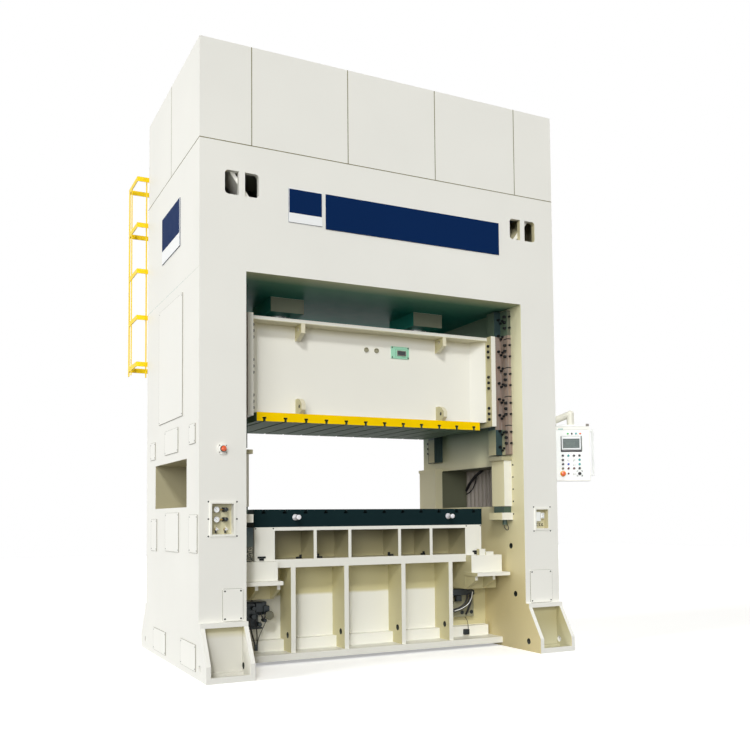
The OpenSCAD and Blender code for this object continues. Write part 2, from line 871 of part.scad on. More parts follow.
module regulator_knob(z) {
    rod_y(knob_d, knob_x, [-face - 4, -face + 33.7], z);
    rod_y(spindle_d, knob_x, [-face + 33, -face + 60], z);
}

module regulator_knob_upper() {
    color(black) regulator_knob(knob_z[1]);
}

module regulator_knob_lower() {
    color(black) regulator_knob(knob_z[0]);
}

module junction_panel() {
    y1 = -face + pocket_in;
    x0 = junction_x - junction_w / 2;
    color(paint) {
        rim(junction_x, junction_w, junction_z, junction_h, 19);
        span([x0, x0 + junction_w], [y1 - 10, y1], [junction_z, junction_z + junction_h]);
        span([x0 + 20, x0 + 95], [y1 - 55, y1 - 10], [junction_z + 90, junction_z + 200]);
        span([x0 + 115, x0 + 165], [y1 - 40, y1 - 10], [junction_z + 120, junction_z + 190]);
        for (i = [0 : 3])
            rod_y(22, x0 + 32 + i * 40, [y1 - 34, y1 - 10], junction_z + 45);
    }
}

stop_x = -half + 247;
stop_z = 2326;
stem_d = 20;

module stop_plate() {
    color(paint) difference() {
        union() {
            rod_y(120, stop_x, [-face - 10, -face], stop_z);
            rod_y(74, stop_x, [-face - 30, -face - 10], stop_z);
        }
        rod_y(stem_d + 2 * run_gap, stop_x, [-face - 31, -face - 2], stop_z);
        for (a = [45 : 90 : 315])
            rod_y(8, stop_x + 50 * cos(a), [-face - 10 - e, -face - 7], stop_z + 50 * sin(a));
    }
}

module column_stop() {
    y = -face - 30 - stop_travel - 0.4;
    color(red) {
        rod_y(stop_d, stop_x, [y - 24, y], stop_z);
        rod_y(stem_d, stop_x, [y - e, y + 24], stop_z);
    }
}

// ---------------------------------------------------------------- ladder

ladder_x = -half + ladder_set;
ladder_y = face + ladder_gap;
hoop_z = [for (i = [0 : 4]) hoop_low + i * hoop_pitch];
cage_y = face + cage_d;

module ladder() {
    x0 = ladder_x - ladder_w / 2;
    x1 = ladder_x + ladder_w / 2;
    y = ladder_y;
    color(yellow) {
        for (x = [x0, x1 - bar_t]) {
            span([x, x + bar_t], [y, y + bar_h], [foot_h + 60, top_z + 950]);
            for (i = [0 : 4])
                span([x, x + bar_t], [face, y + e], [foot_h + 237 + i * 1125, foot_h + 237 + i * 1125 + bar_h]);
        }
        for (i = [0 : 16])
            rod_x(28, [x0 + bar_t - e, x1 - bar_t + e], y + bar_h / 2, foot_h + 140 + i * 300, $fn = 16);
    }
}

module ladder_cage() {
    x0 = ladder_x - ladder_w / 2;
    x1 = ladder_x + ladder_w / 2;
    y = ladder_y + bar_h;
    a = x0 - cage_out;
    b = x1 + cage_out;
    color(yellow) {
        for (z = hoop_z) {
            span([a, x0], [y, y + bar_t], [z, z + bar_h]);
            span([x1, b], [y, y + bar_t], [z, z + bar_h]);
            span([x0 - e, x0 + bar_t], [y, y + bar_t], [z, z + bar_h]);
            span([x1 - bar_t, x1 + e], [y, y + bar_t], [z, z + bar_h]);
            span([a, a + bar_t], [y, cage_y], [z, z + bar_h]);
            span([b - bar_t, b], [y, cage_y], [z, z + bar_h]);
        }
        for (i = [0, 3, 4])
            span([a, b], [cage_y - bar_t, cage_y], [hoop_z[i], hoop_z[i] + bar_h]);
        for (x = [a, b - bar_t]) {
            span([x, x + bar_t], [cage_y - bar_h, cage_y], [hoop_z[0] - 60, hoop_z[4] + bar_h]);
            span([x, x + bar_t], [cage_y - 190, cage_y - 160], [hoop_z[0] - 60, hoop_z[4] + bar_h]);
        }
        for (x = [a + 118, b - 118 - bar_t])
            span([x, x + bar_t], [y, y + 40], [hoop_z[0] - 140, hoop_z[4] + bar_h]);
        span([ladder_x - 30, ladder_x + 30], [cage_y - bar_t, cage_y], [hoop_z[0], hoop_z[4] + bar_h]);
    }
}

// ---------------------------------------------------------------- drive

balance_y = 450;

// outline of a spur gear; the flanks follow the involute through three points
function roll(r, base) = r > base ? tan(acos(base / r)) * 180 / PI - acos(base / r) : 0;
function half_tooth(n, r) = 90 / n + tan(press_angle) * 180 / PI - press_angle
    - roll(r, tooth * n / 2 * cos(press_angle)) - backlash / 2 / r * 180 / PI;
function gear_outline(n, turn) = [
    for (i = [0 : n - 1]) for (p = [[-1, -1.25], [-1, 0], [-1, 1], [1, 1], [1, 0], [1, -1.25]])
        let (r = tooth * n / 2 + p[1] * tooth)
        let (a = turn + i * 360 / n + p[0] * half_tooth(n, r))
        [r * cos(a), r * sin(a)]
];

module bearing_blocks() {
    color(paint) both_x() {
        difference() {
            rod_z(house_d, screw_x, 0, [room_z, gear_z - 10]);
            rod_z(plunger_d + 20, screw_x, 0, [room_z - e, gear_z]);
            rod_z(journal_d + 2 * run_gap, screw_x, 0, [gear_z - 150, gear_z]);
        }
        difference() {
            span([screw_x - house_d / 2, screw_x + mesh_x + 150], [-face + crown_wall, face - crown_wall], [bridge_z, bridge_z + bridge_t]);
            rod_z(journal_d + 2 * run_gap, screw_x, 0, [bridge_z - e, bridge_z + bridge_t + e]);
            rod_z(rotor_d + 2 * run_gap, screw_x + mesh_x, 0, [bridge_z - e, bridge_z + bridge_t + e]);
        }
    }
}

module nut() {
    difference() {
        union() {
            rod_z(journal_d, 0, 0, [gear_z - 150 + 0.3, nut_top]);
            translate([0, 0, gear_z]) linear_extrude(height = gear_face) polygon(gear_outline(gear_teeth, 0));
        }
        rod_z(screw_d + 2 * run_gap, 0, 0, [gear_z - 151, nut_top + e]);
    }
}

module nut_left() {
    color(steel) translate([-screw_x, 0, 0]) nut();
}

module nut_right() {
    color(steel) translate([screw_x, 0, 0]) nut();
}

module rotor() {
    rod_z(rotor_d, 0, 0, [gear_z - 20, top_z + motor_h - 60.3]);
    translate([0, 0, gear_z]) linear_extrude(height = gear_face) polygon(gear_outline(pinion_teeth, 180 / pinion_teeth));
}

module rotor_left() {
    color(steel) translate([-screw_x - mesh_x, 0, 0]) rotor();
}

module rotor_right() {
    color(steel) translate([screw_x + mesh_x, 0, 0]) rotor();
}

module motor() {
    difference() {
        union() {
            span([-motor_d / 2 - 20, motor_d / 2 + 20], [-motor_d / 2 - 20, motor_d / 2 + 20], [top_z, top_z + 40]);
            rod_z(motor_d, 0, 0, [top_z, top_z + motor_h]);
            span([-80, 80], [-motor_d / 2 - 70, 0], [top_z + motor_h * 0.55, top_z + motor_h * 0.8]);
        }
        rod_z(rotor_d + 2 * run_gap, 0, 0, [top_z - e, top_z + motor_h - 60]);
    }
}

module motor_left() {
    color(black) translate([-screw_x - mesh_x, 0, 0]) motor();
}

module motor_right() {
    color(black) translate([screw_x + mesh_x, 0, 0]) motor();
}

module balance_cylinders() {
    z1 = bridge_z - 10;
    color(steel) both_x() difference() {
        rod_z(barrel_d, screw_x, balance_y, [room_z, z1]);
        rod_z(barrel_bore, screw_x, balance_y, [room_z + 50, z1 - 40]);
        rod_z(balance_d + 2 * run_gap, screw_x, balance_y, [room_z - e, room_z + 51]);
    }
}

module balance_rods() {
    z1 = bridge_z - 55;
    color(steel) both_x() {
        rod_z(balance_d, screw_x, balance_y, [body_top, z1]);
        rod_z(barrel_bore - 2 * run_gap, screw_x, balance_y, [z1 - 70, z1]);
    }
}

module air_tank() {
    r = tank_d / 2;
    y = face - parapet_t - post_side - r - 60;
    z = top_z + r + 80;
    saddle_x = 0.325 * tank_l;
    color(paint) {
        rod_x(tank_d, [-tank_l / 2, tank_l / 2], y, z);
        for (x = [-saddle_x, saddle_x])
            span([x - 40, x + 40], [y - 180, y + 180], [top_z, z]);
        rod_z(60, 0, y, [z + r - 10, z + r + 60]);
    }
}

// ---------------------------------------------------------------- slide

module lug_top() {
    x0 = lug_x;
    side_plate([x0, x0 + lug_t], [
        [-flange_face, body_top - flange_t + e], [-flange_face, body_top - 148], [-panel_face - 30, body_top - 213],
        [-panel_face + e, body_top - 213], [-panel_face + e, body_top - flange_t + e]
    ]);
}

module lug_low() {
    x0 = lug_x;
    side_plate([x0, x0 + lug_t], [
        [-flange_face + 58, body_z], [-flange_face, body_z + 42], [-flange_face, body_z + 108],
        [-flange_face + 52, body_z + 160], [-flange_face + 110, body_z + 180], [-panel_face + e, body_z + 180],
        [-panel_face + e, body_z]
    ]);
}

module slide() {
    c = 140;
    x1 = slide_half - wing_t;
    color(paint) difference() {
        union() {
            // box with slanted corners between the side plates
            translate([0, 0, body_z]) linear_extrude(height = body_top - body_z) polygon([
                [-x1 + c, -panel_face], [x1 - c, -panel_face], [x1 + e, -wing + 100], [x1 + e, wing - 100],
                [x1 - c, panel_face], [-x1 + c, panel_face], [-x1 - e, wing - 100], [-x1 - e, -wing + 100]
            ]);
            both_x() span([x1, slide_half], [-wing, wing], [slide_z + 40, slide_z + 40 + wing_h]);
            span([-x1 - e, x1 + e], [-flange_face, flange_face], [body_top - flange_t, body_top]);
            both_x() both_y() {
                difference() {
                    lug_top();
                    rod_x(44, [lug_x - e, lug_x + lug_t + e], -flange_face + 90, body_top - 93);
                }
                lug_low();
            }
        }
        // pockets open at the top
        both_x() both_y() {
            span([60, screw_x - 252], [-panel_face + slide_wall, -40], [body_z + slide_wall, body_top + e]);
            span([screw_x + 230, x1 - c - slide_wall], [-panel_face + slide_wall, -40], [body_z + slide_wall, body_top + e]);
        }
    }
}

module slide_plate() {
    color(dark) difference() {
        span([-plate_half, plate_half], [-plate_d / 2, plate_d / 2], [slide_z, body_z]);
        translate([0, 0, slide_z]) mirror([0, 0, 1]) t_slots(plate_d);
    }
}

module slide_bolts() {
    x = slide_half - wing_t;
    color(steel) {
        both_x() both_y() for (i = [0 : 2])
            for (k = [-1, 0, 1])
                rod_x(36, [x - 22, x], -wing + 50, slide_z + rail_first + i * rail_pitch + k * 70);
        for (s = [-46, 89])
            rod_y(60, s, [-panel_face - 14, -panel_face], body_z + plug_up);
    }
}

module stroke_counter() {
    x = [285, 531];
    z = [body_z + 746, body_z + 893];
    y = -panel_face;
    color(paint) {
        span(x, [y - 14, y], z);
        span([x[0] + 30, x[1] - 30], [y - 20, y - 14], [z[0] + 40, z[1] - 22]);
    }
}

module screw() {
    rod_z(plunger_d + 90, 0, 0, [body_top, body_top + 50]);
    rod_z(plunger_d, 0, 0, [body_top, room_z + 330]);
    rod_z(screw_d, 0, 0, [room_z + 320, nut_top + stroke + 30]);
}

module screw_left() {
    color(steel) translate([-screw_x, 0, 0]) screw();
}

module screw_right() {
    color(steel) translate([screw_x, 0, 0]) screw();
}

// ---------------------------------------------------------------- control panel

hinge_x = half + 20 + (arm_d + 8) / 2;
hinge_y = -face + 220;
arm_z = box_z + box_h + 64;
pin_d = 40;
axis_x = half + swivel_x;
axis_y = -face + swivel_y;
box_top = box_z + box_h;
spigot_d = 60;
tube_gap = 3;

module arm_bracket() {
    color(paint) {
        span([half, half + 14], [hinge_y - 90, hinge_y + 90], [arm_z - 60, arm_z + 130]);
        for (z = [arm_z - 60, arm_z + 60]) {
            span([half + 14 - e, hinge_x], [hinge_y - 40, hinge_y + 40], [z, z + 30]);
            rod_z(80, hinge_x, hinge_y, [z, z + 30]);
        }
        rod_z(pin_d, hinge_x, hinge_y, [arm_z - 60, arm_z + 90]);
    }
}

// the arm: hub, rising tube, elbow and the socket over the panel
module swing_arm() {
    dx = axis_x - hinge_x;
    dy = axis_y - hinge_y;
    reach = sqrt(dx * dx + dy * dy);
    rise = 96;
    top = arm_z + rise;
    color(paint) difference() {
        union() {
            rod_z(arm_d + 8, hinge_x, hinge_y, [arm_z - 29.7, arm_z + 59.7]);
            translate([hinge_x, hinge_y, arm_z]) rotate([0, 0, atan2(dy, dx)]) rotate([0, atan2(reach, rise), 0])
                cylinder(h = sqrt(reach * reach + rise * rise), d = arm_d - 6);
            translate([axis_x, axis_y, top]) sphere(d = arm_d);
            rod_z(arm_d, axis_x, axis_y, [box_top + tube_gap, top]);
        }
        rod_z(pin_d + 2 * run_gap, hinge_x, hinge_y, [arm_z - 100, arm_z + 100]);
        // the tube's upper end stays clear of the lower and upper lugs
        rod_z(arm_d + 30, hinge_x, hinge_y, [arm_z + 59.7, arm_z + 200]);
        rod_z(arm_d + 30, hinge_x, hinge_y, [arm_z - 200, arm_z - 29.7]);
        rod_z(spigot_d + 2 * run_gap, axis_x, axis_y, [box_top - e, box_top + 101]);
    }
}

// everything on the panel is drawn square to it, about its swivel
module on_panel() {
    translate([axis_x, axis_y, box_z]) rotate([0, 0, -box_turn]) children();
}

module control_panel() {
    w = box_w / 2;
    d = box_d / 2;
    color(paint) on_panel() {
        difference() {
            span([-w, w], [-d, d], [0, box_h]);
            span([-140, 130], [-d - e, -d + 12], [363, 565]);
            rod_y(stem_d + 2 * run_gap, -2 * key_x + 20, [-d - e, -d + 40], 94);
            rod_y(stem_d + 2 * run_gap, key_x + 20, [-d - e, -d + 40], 94);
        }
        rod_z(spigot_d, 0, 0, [box_h - e, box_h + 98]);
        rod_z(arm_d + 20, 0, 0, [box_h - e, box_h + 2.7 - 0.3]);
        // the handle on the right
        rod_z(26, w + 47, 0, [66, box_h - 35]);
        for (z = [80, box_h - 60])
            rod_x(22, [w - e, w + 47], 0, z);
        // hinges of the door on the left
        for (z = [110, box_h - 150])
            span([-w - 12, -w], [-d + 4, -d + 24], [z, z + 60]);
    }
}

module panel_screen() {
    d = box_d / 2;
    color(black) on_panel() difference() {
        span([-140, 130], [-d - 6, -d + 12], [363, 565]);
        span([-112, 97], [-d - 7, -d - 2], [413, 525]);
    }
}

module panel_keys() {
    d = box_d / 2;
    color(black) on_panel() {
        for (i = [-2 : 1]) for (k = [0 : 3])
            rod_y(key_d, i * key_x + 20, [-d - 16, -d], 159 + k * key_z);
        for (x = [-50, 0, 52, 104])
            rod_y(28, x, [-d - 12, -d], 593);
        rod_y(26, -key_x + 20, [-d - 12, -d], 94);
        rod_y(key_d, 20, [-d - 16, -d], 94);
        difference() {
            rod_y(73, -2 * key_x + 20, [-d - 6, -d], 94);
            rod_y(stem_d + 2 * run_gap, -2 * key_x + 20, [-d - 7, -d + e], 94);
        }
    }
}

module panel_stop() {
    y = -box_d / 2 - 6 - stop_travel - 0.4;
    color(red) on_panel() {
        rod_y(stop_d, -2 * key_x + 20, [y - 22, y], 94);
        rod_y(stem_d, -2 * key_x + 20, [y - e, y + 38], 94);
    }
}

module panel_selector() {
    y = -box_d / 2 - 0.3;
    color(black) on_panel() {
        rod_y(40, key_x + 20, [y - 10, y], 94);
        span([key_x + 20 - 6, key_x + 20 + 6], [y - 28, y - 9], [94 - 18, 94 + 18]);
        rod_y(stem_d, key_x + 20, [y - e, y + 38], 94);
    }
}

crown();
left_upright();
right_upright();
bed();
bed_riser();
bolster();
bolster_pegs();
parapet_front();
parapet_rear();
parapet_left();
parapet_right();
parapet_posts();
side_covers();
front_covers();
name_plates();
window_shutter();
gib_blocks();
gib_bars();
gib_liners();
gib_bolts();
guard_front_left();
guard_front_right();
guard_rear_left();
guard_rear_right();
die_bracket_left();
die_bracket_right();
valve_unit();
lube_unit();
air_panel();
air_gauges();
regulator_knob_upper();
regulator_knob_lower();
junction_panel();
stop_plate();
column_stop();
ladder();
ladder_cage();
motor_left();
motor_right();
rotor_left();
rotor_right();
bearing_blocks();
nut_left();
nut_right();
balance_cylinders();
air_tank();
slide();
slide_plate();
slide_bolts();
stroke_counter();
screw_left();
screw_right();
balance_rods();
arm_bracket();
swing_arm();
control_panel();
panel_screen();
panel_keys();
panel_stop();
panel_selector();
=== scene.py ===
# %% [markdown]
# # Straight-side servo press
#
# A welded press frame stands on a pale floor: two boxed uprights, a crown with a parapet round
# its deck, a bed, a riser and a T-slotted bolster. A guided slide hangs between the uprights.
# Each cell below makes one group of things and prints what it made. Lengths are in metres.

# %% Start: the shared frame and the camera
import bpy
import json
import math
import numpy as np
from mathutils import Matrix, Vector


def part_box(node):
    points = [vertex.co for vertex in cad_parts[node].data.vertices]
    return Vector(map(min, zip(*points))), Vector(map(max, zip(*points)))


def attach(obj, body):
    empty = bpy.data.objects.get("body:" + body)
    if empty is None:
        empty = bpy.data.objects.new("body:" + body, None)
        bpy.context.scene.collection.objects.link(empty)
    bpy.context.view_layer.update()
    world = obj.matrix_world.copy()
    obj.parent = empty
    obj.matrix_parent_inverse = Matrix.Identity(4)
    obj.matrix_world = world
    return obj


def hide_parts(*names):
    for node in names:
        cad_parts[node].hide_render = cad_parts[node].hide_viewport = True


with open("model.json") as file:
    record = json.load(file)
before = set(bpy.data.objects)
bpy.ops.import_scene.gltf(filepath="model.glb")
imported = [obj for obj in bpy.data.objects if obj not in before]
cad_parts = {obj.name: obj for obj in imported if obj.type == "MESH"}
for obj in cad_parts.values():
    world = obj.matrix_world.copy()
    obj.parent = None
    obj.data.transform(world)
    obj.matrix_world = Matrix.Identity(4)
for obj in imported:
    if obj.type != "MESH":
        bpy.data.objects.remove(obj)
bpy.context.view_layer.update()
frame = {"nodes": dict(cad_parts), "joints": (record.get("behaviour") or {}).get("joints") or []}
CAMERA_AT = (-4.6299, -9.9885, 1.6028)
CAMERA_TURN = (93.1229227, 0.5077449, -26.4520981)
LENS_MM, SHIFT_UP = 42.3912, 0.126667


def add(name, data):
    """A new object in the scene."""
    obj = bpy.data.objects.new(name, data)
    bpy.context.scene.collection.objects.link(obj)
    return obj


def add_camera():
    """The camera stands at eye height, in front and to the left; its turn is in degrees."""
    data = bpy.data.cameras.new("camera")
    data.sensor_width = 36
    data.lens = LENS_MM
    data.shift_y = SHIFT_UP
    data.clip_end = 200
    camera = add("camera", data)
    camera.location = CAMERA_AT
    camera.rotation_euler = [math.radians(a) for a in CAMERA_TURN]
    bpy.context.scene.camera = camera


add_camera()
print("camera at", CAMERA_AT)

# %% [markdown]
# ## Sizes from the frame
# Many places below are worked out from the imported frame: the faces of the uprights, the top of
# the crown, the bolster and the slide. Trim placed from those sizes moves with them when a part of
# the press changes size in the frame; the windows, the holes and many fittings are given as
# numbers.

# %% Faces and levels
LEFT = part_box("left_upright")
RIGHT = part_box("right_upright")
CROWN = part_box("crown")
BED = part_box("bed")
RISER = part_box("bed_riser")
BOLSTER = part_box("bolster")
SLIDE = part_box("slide")
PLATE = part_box("slide_plate")
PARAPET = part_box("parapet_front")

half = CROWN[1].x
face = CROWN[0].y
rear = CROWN[1].y
inner = RIGHT[0].x
crown_z = LEFT[1].z
deck = CROWN[1].z
SIDES = (-1, 1)
CORNERS = [(sx, sy) for sx in SIDES for sy in SIDES]
WINDOW_HALF, WINDOW_LOW, WINDOW_TOP = 0.735, 1.736, 2.251
LIFT_HOLES = [(0.932, 1.247, 0.0355), (1.012, 0.664, 0.0355), (1.264, 0.118, 0.0355)]
RIB_HOLES = [(0.57, 0.297, 0.0355)]
print("frame", round(2 * half, 3), "wide,", round(rear - face, 3), "deep, deck at", round(deck, 3))


# %% [markdown]
# ## Building surfaces from arrays
# A small plate, a turned knob and a hose are all the same idea: a row of points carried through
# a row of places gives a grid, and the grid's squares are the faces. Numpy works out the whole
# grid at once. Primitives with modifiers would do too, but a formula keeps each edge where the
# drawing says.

# %% Grids, outlines and places
UP = np.array([0, 0, 1])


def side_frame(out):
    """Axes on a wall that faces out: across = up x out, then up, then out."""
    out = np.asarray(out, float)
    return np.stack([np.cross(UP, out), UP, out])


FRONT = side_frame((0, -1, 0))
REAR = side_frame((0, 1, 0))
LEFTWARD = side_frame((-1, 0, 0))
RIGHTWARD = side_frame((1, 0, 0))
UPWARD = np.eye(3)


def on(axes, points, at=(0, 0, 0)):
    """Local (across, up, out) points become world points: at + sum of component x axis."""
    return np.asarray(points, float) @ axes + np.asarray(at, float)


def grid_faces(rows, cols, wrap_rows=False):
    """Quads of a grid whose columns close on themselves, and its rows too if asked."""
    i = np.arange(rows if wrap_rows else rows - 1)[:, None]
    j = np.arange(cols)[None, :]
    i2, j2 = (i + 1) % rows, (j + 1) % cols
    quads = np.stack([i * cols + j, i * cols + j2, i2 * cols + j2, i2 * cols + j], -1)
    return [tuple(q) for q in quads.reshape(-1, 4)]


def rounded(w, h, r, n=5):
    """Outline of a w x h rectangle whose corners are quarter circles of radius r."""
    r = min(r, 0.499 * w, 0.499 * h)
    a = np.linspace(0, np.pi / 2, n)
    quarter = a[None, :] + np.arange(4)[:, None] * np.pi / 2
    sx = np.array([1, -1, -1, 1])[:, None] * (w / 2 - r)
    sy = np.array([1, 1, -1, -1])[:, None] * (h / 2 - r)
    return np.stack([sx + r * np.cos(quarter), sy + r * np.sin(quarter)], -1).reshape(-1, 2)


def circle(n):
    """n points round the unit circle."""
    a = np.linspace(0, 2 * np.pi, n, endpoint=False)
    return np.stack([np.cos(a), np.sin(a)], -1)


def lifted(outlines, heights):
    """Each outline at its own height, as one array of points."""
    return np.concatenate([np.column_stack([o, np.full(len(o), z)])
                           for o, z in zip(outlines, heights)])


def stack(outlines, heights):
    """Rings of equal length at their heights, closed at both ends: points and faces."""
    rows, n = len(outlines), len(outlines[0])
    ends = [tuple(range(n - 1, -1, -1)), tuple(range((rows - 1) * n, rows * n))]
    return lifted(outlines, heights), grid_faces(rows, n) + ends


def pad(w, h, t, r=0.004, edge=0.002):
    """A plate w x h, t thick, with rounded corners and a bevel round its outer face."""
    edge = min(edge, 0.45 * t, 0.2 * min(w, h))
    flat = rounded(w, h, r)
    small = rounded(w - 2 * edge, h - 2 * edge, max(r - edge, 1e-4))
    return stack([flat, flat, small], [0, t - edge, t])


def rim(w, h, t, band, r=0.006, edge=0.0015):
    """A closed band round a w x h rectangle: six rings, wrapped both ways."""
    edge = min(edge, 0.4 * t)
    rings = [rounded(w - 2 * e, h - 2 * e, r) for e in (0, 0, edge)]
    rings += [rounded(w - 2 * band + 2 * e, h - 2 * band + 2 * e, max(r - band, 5e-4))
              for e in (edge, 0, 0)]
    points = lifted(rings, [0, t - edge, t, t, t - edge, 0])
    return points, grid_faces(6, len(rings[0]), wrap_rows=True)


def turned(profile, n=32):
    """A profile of (radius, height) pairs turned about the out axis, closed at both ends."""
    return stack([circle(n) * max(r, 1e-5) for r, _ in profile], [h for _, h in profile])


def pipe(route, radius, n=12, per=10):
    """A round hose along a smooth route (Catmull-Rom through the points), closed at both ends.

    Each ring is centre + radius (cos a side + sin a lift), with side kept square to the route.
    """
    p = np.asarray(route, float)
    q = np.concatenate([[2 * p[0] - p[1]], p, [2 * p[-1] - p[-2]]])
    t = np.linspace(0, 1, per, endpoint=False)[:, None]
    parts = []
    for a, b, c, d in zip(q, q[1:], q[2:], q[3:]):
        parts.append(0.5 * (2 * b + (c - a) * t + (2 * a - 5 * b + 4 * c - d) * t ** 2
                            + (3 * b - a - 3 * c + d) * t ** 3))
    line = np.concatenate(parts + [p[-1:]])
    along = np.gradient(line, axis=0)
    along /= np.linalg.norm(along, axis=1, keepdims=True)
    flattest = np.eye(3)[int(np.argmin(p.max(0) - p.min(0)))]
    side = np.cross(along, flattest)
    side /= np.linalg.norm(side, axis=1, keepdims=True)
    lift = np.cross(side, along)
    c, s = circle(n).T[:, None, :, None]
    rings = line[:, None] + radius * (c * side[:, None] + s * lift[:, None])
    faces = [f[::-1] for f in grid_faces(len(line), n)]
    faces += [tuple(range(n)), tuple(range(len(line) * n - 1, (len(line) - 1) * n - 1, -1))]
    return rings.reshape(-1, 3), faces


def moved(shape, *step):
    """A local shape moved by (across, up, out)."""
    points, faces = shape
    return points + np.array(step), faces


def put(shape, axes, across, up, out):
    """A local shape moved to (across, up, out) on a wall's axes."""
    points, faces = moved(shape, across, up, out)
    return on(axes, points), faces


def front(shape, x, z, out):
    """A shape on a wall that faces the front, at Y = -out."""
    return put(shape, FRONT, x, z, out)


def fronts(*rows):
    return [front(*row) for row in rows]


def piece(name, shapes, material, body="press_frame", smooth=False):
    """One object from many shapes: their points are joined and their faces renumbered."""
    points, faces, start = [], [], 0
    for p, f in shapes:
        points.append(p)
        faces += [tuple(int(i) + start for i in one) for one in f]
        start += len(p)
    mesh = bpy.data.meshes.new(name)
    mesh.from_pydata(np.concatenate(points).tolist(), [], faces)
    mesh.materials.append(material)
    if smooth:
        mesh.polygons.foreach_set("use_smooth", np.ones(len(faces), bool))
        mesh.set_sharp_from_angle(angle=math.radians(35))
    mesh.update()
    obj = add(name, mesh)
    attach(obj, body)
    print(name, len(shapes), "shapes,", len(faces), "faces")
    return obj


# %% [markdown]
# ## Finishes
# The press is sprayed with a warm white machine enamel: semi-gloss, with a fine orange-peel
# skin and slow changes of tone from plate to plate. Steel faces are milled or ground, so their
# gloss runs in fine lines. Each finish is one function that wires noise into colour, roughness
# and bump; a picture would need unwrapping and would repeat.

# %% Colours and a base for every finish
def linear(colour):
    """Screen colour #rrggbb to linear light: c/12.92 up to 0.04045, else ((c+0.055)/1.055)^2.4."""
    if isinstance(colour, tuple):
        return colour
    c = np.array([int(colour[i:i + 2], 16) for i in (1, 3, 5)]) / 255
    light = np.where(c <= 0.04045, c / 12.92, ((c + 0.055) / 1.055) ** 2.4)
    return tuple(float(v) for v in light) + (1,)


def scaled(colour, k):
    """A colour made k times as bright."""
    return tuple(c * k for c in linear(colour)[:3]) + (1,)


def sign(kind, swapped=False):
    """A method that adds one Math node of this kind to the value's tree."""
    return lambda a, b=0: a.tree.math(kind, *((b, a) if swapped else (a, b)))


class Value:
    """An output in a node tree; signs between values add Math nodes. A mask is 1 or 0."""

    def __init__(self, tree, socket):
        self.tree, self.socket = tree, socket

    __mul__, __add__, __sub__ = sign("MULTIPLY"), sign("ADD"), sign("SUBTRACT")
    __gt__, __lt__, __or__ = sign("GREATER_THAN"), sign("LESS_THAN"), sign("MAXIMUM")
    __rsub__, __abs__ = sign("SUBTRACT", True), sign("ABSOLUTE")


def between(value, low, high):
    return (value > low) * (value < high)


class Tree:
    """A node tree with short calls for nodes."""

    def __init__(self, tree):
        self.nodes, self.links = tree.nodes, tree.links

    def feed(self, value, socket):
        """A number or a colour sets the socket; another node's output is linked to it."""
        if isinstance(value, Value):
            self.links.new(value.socket, socket)
        else:
            socket.default_value = linear(value) if isinstance(value, str) else value

    def feed_all(self, inputs, values):
        for name, value in values.items():
            self.feed(value, inputs[name.replace("_", " ")])

    def node(self, kind, out=0, **values):
        """A new node with its inputs fed by name; returns one of its outputs."""
        node = self.nodes.new("ShaderNode" + kind)
        self.feed_all(node.inputs, values)
        return Value(self, node.outputs[out])

    def math(self, kind, a, b):
        node = self.nodes.new("ShaderNodeMath")
        node.operation = kind
        self.feed(a, node.inputs[0])
        self.feed(b, node.inputs[1])
        return Value(self, node.outputs[0])


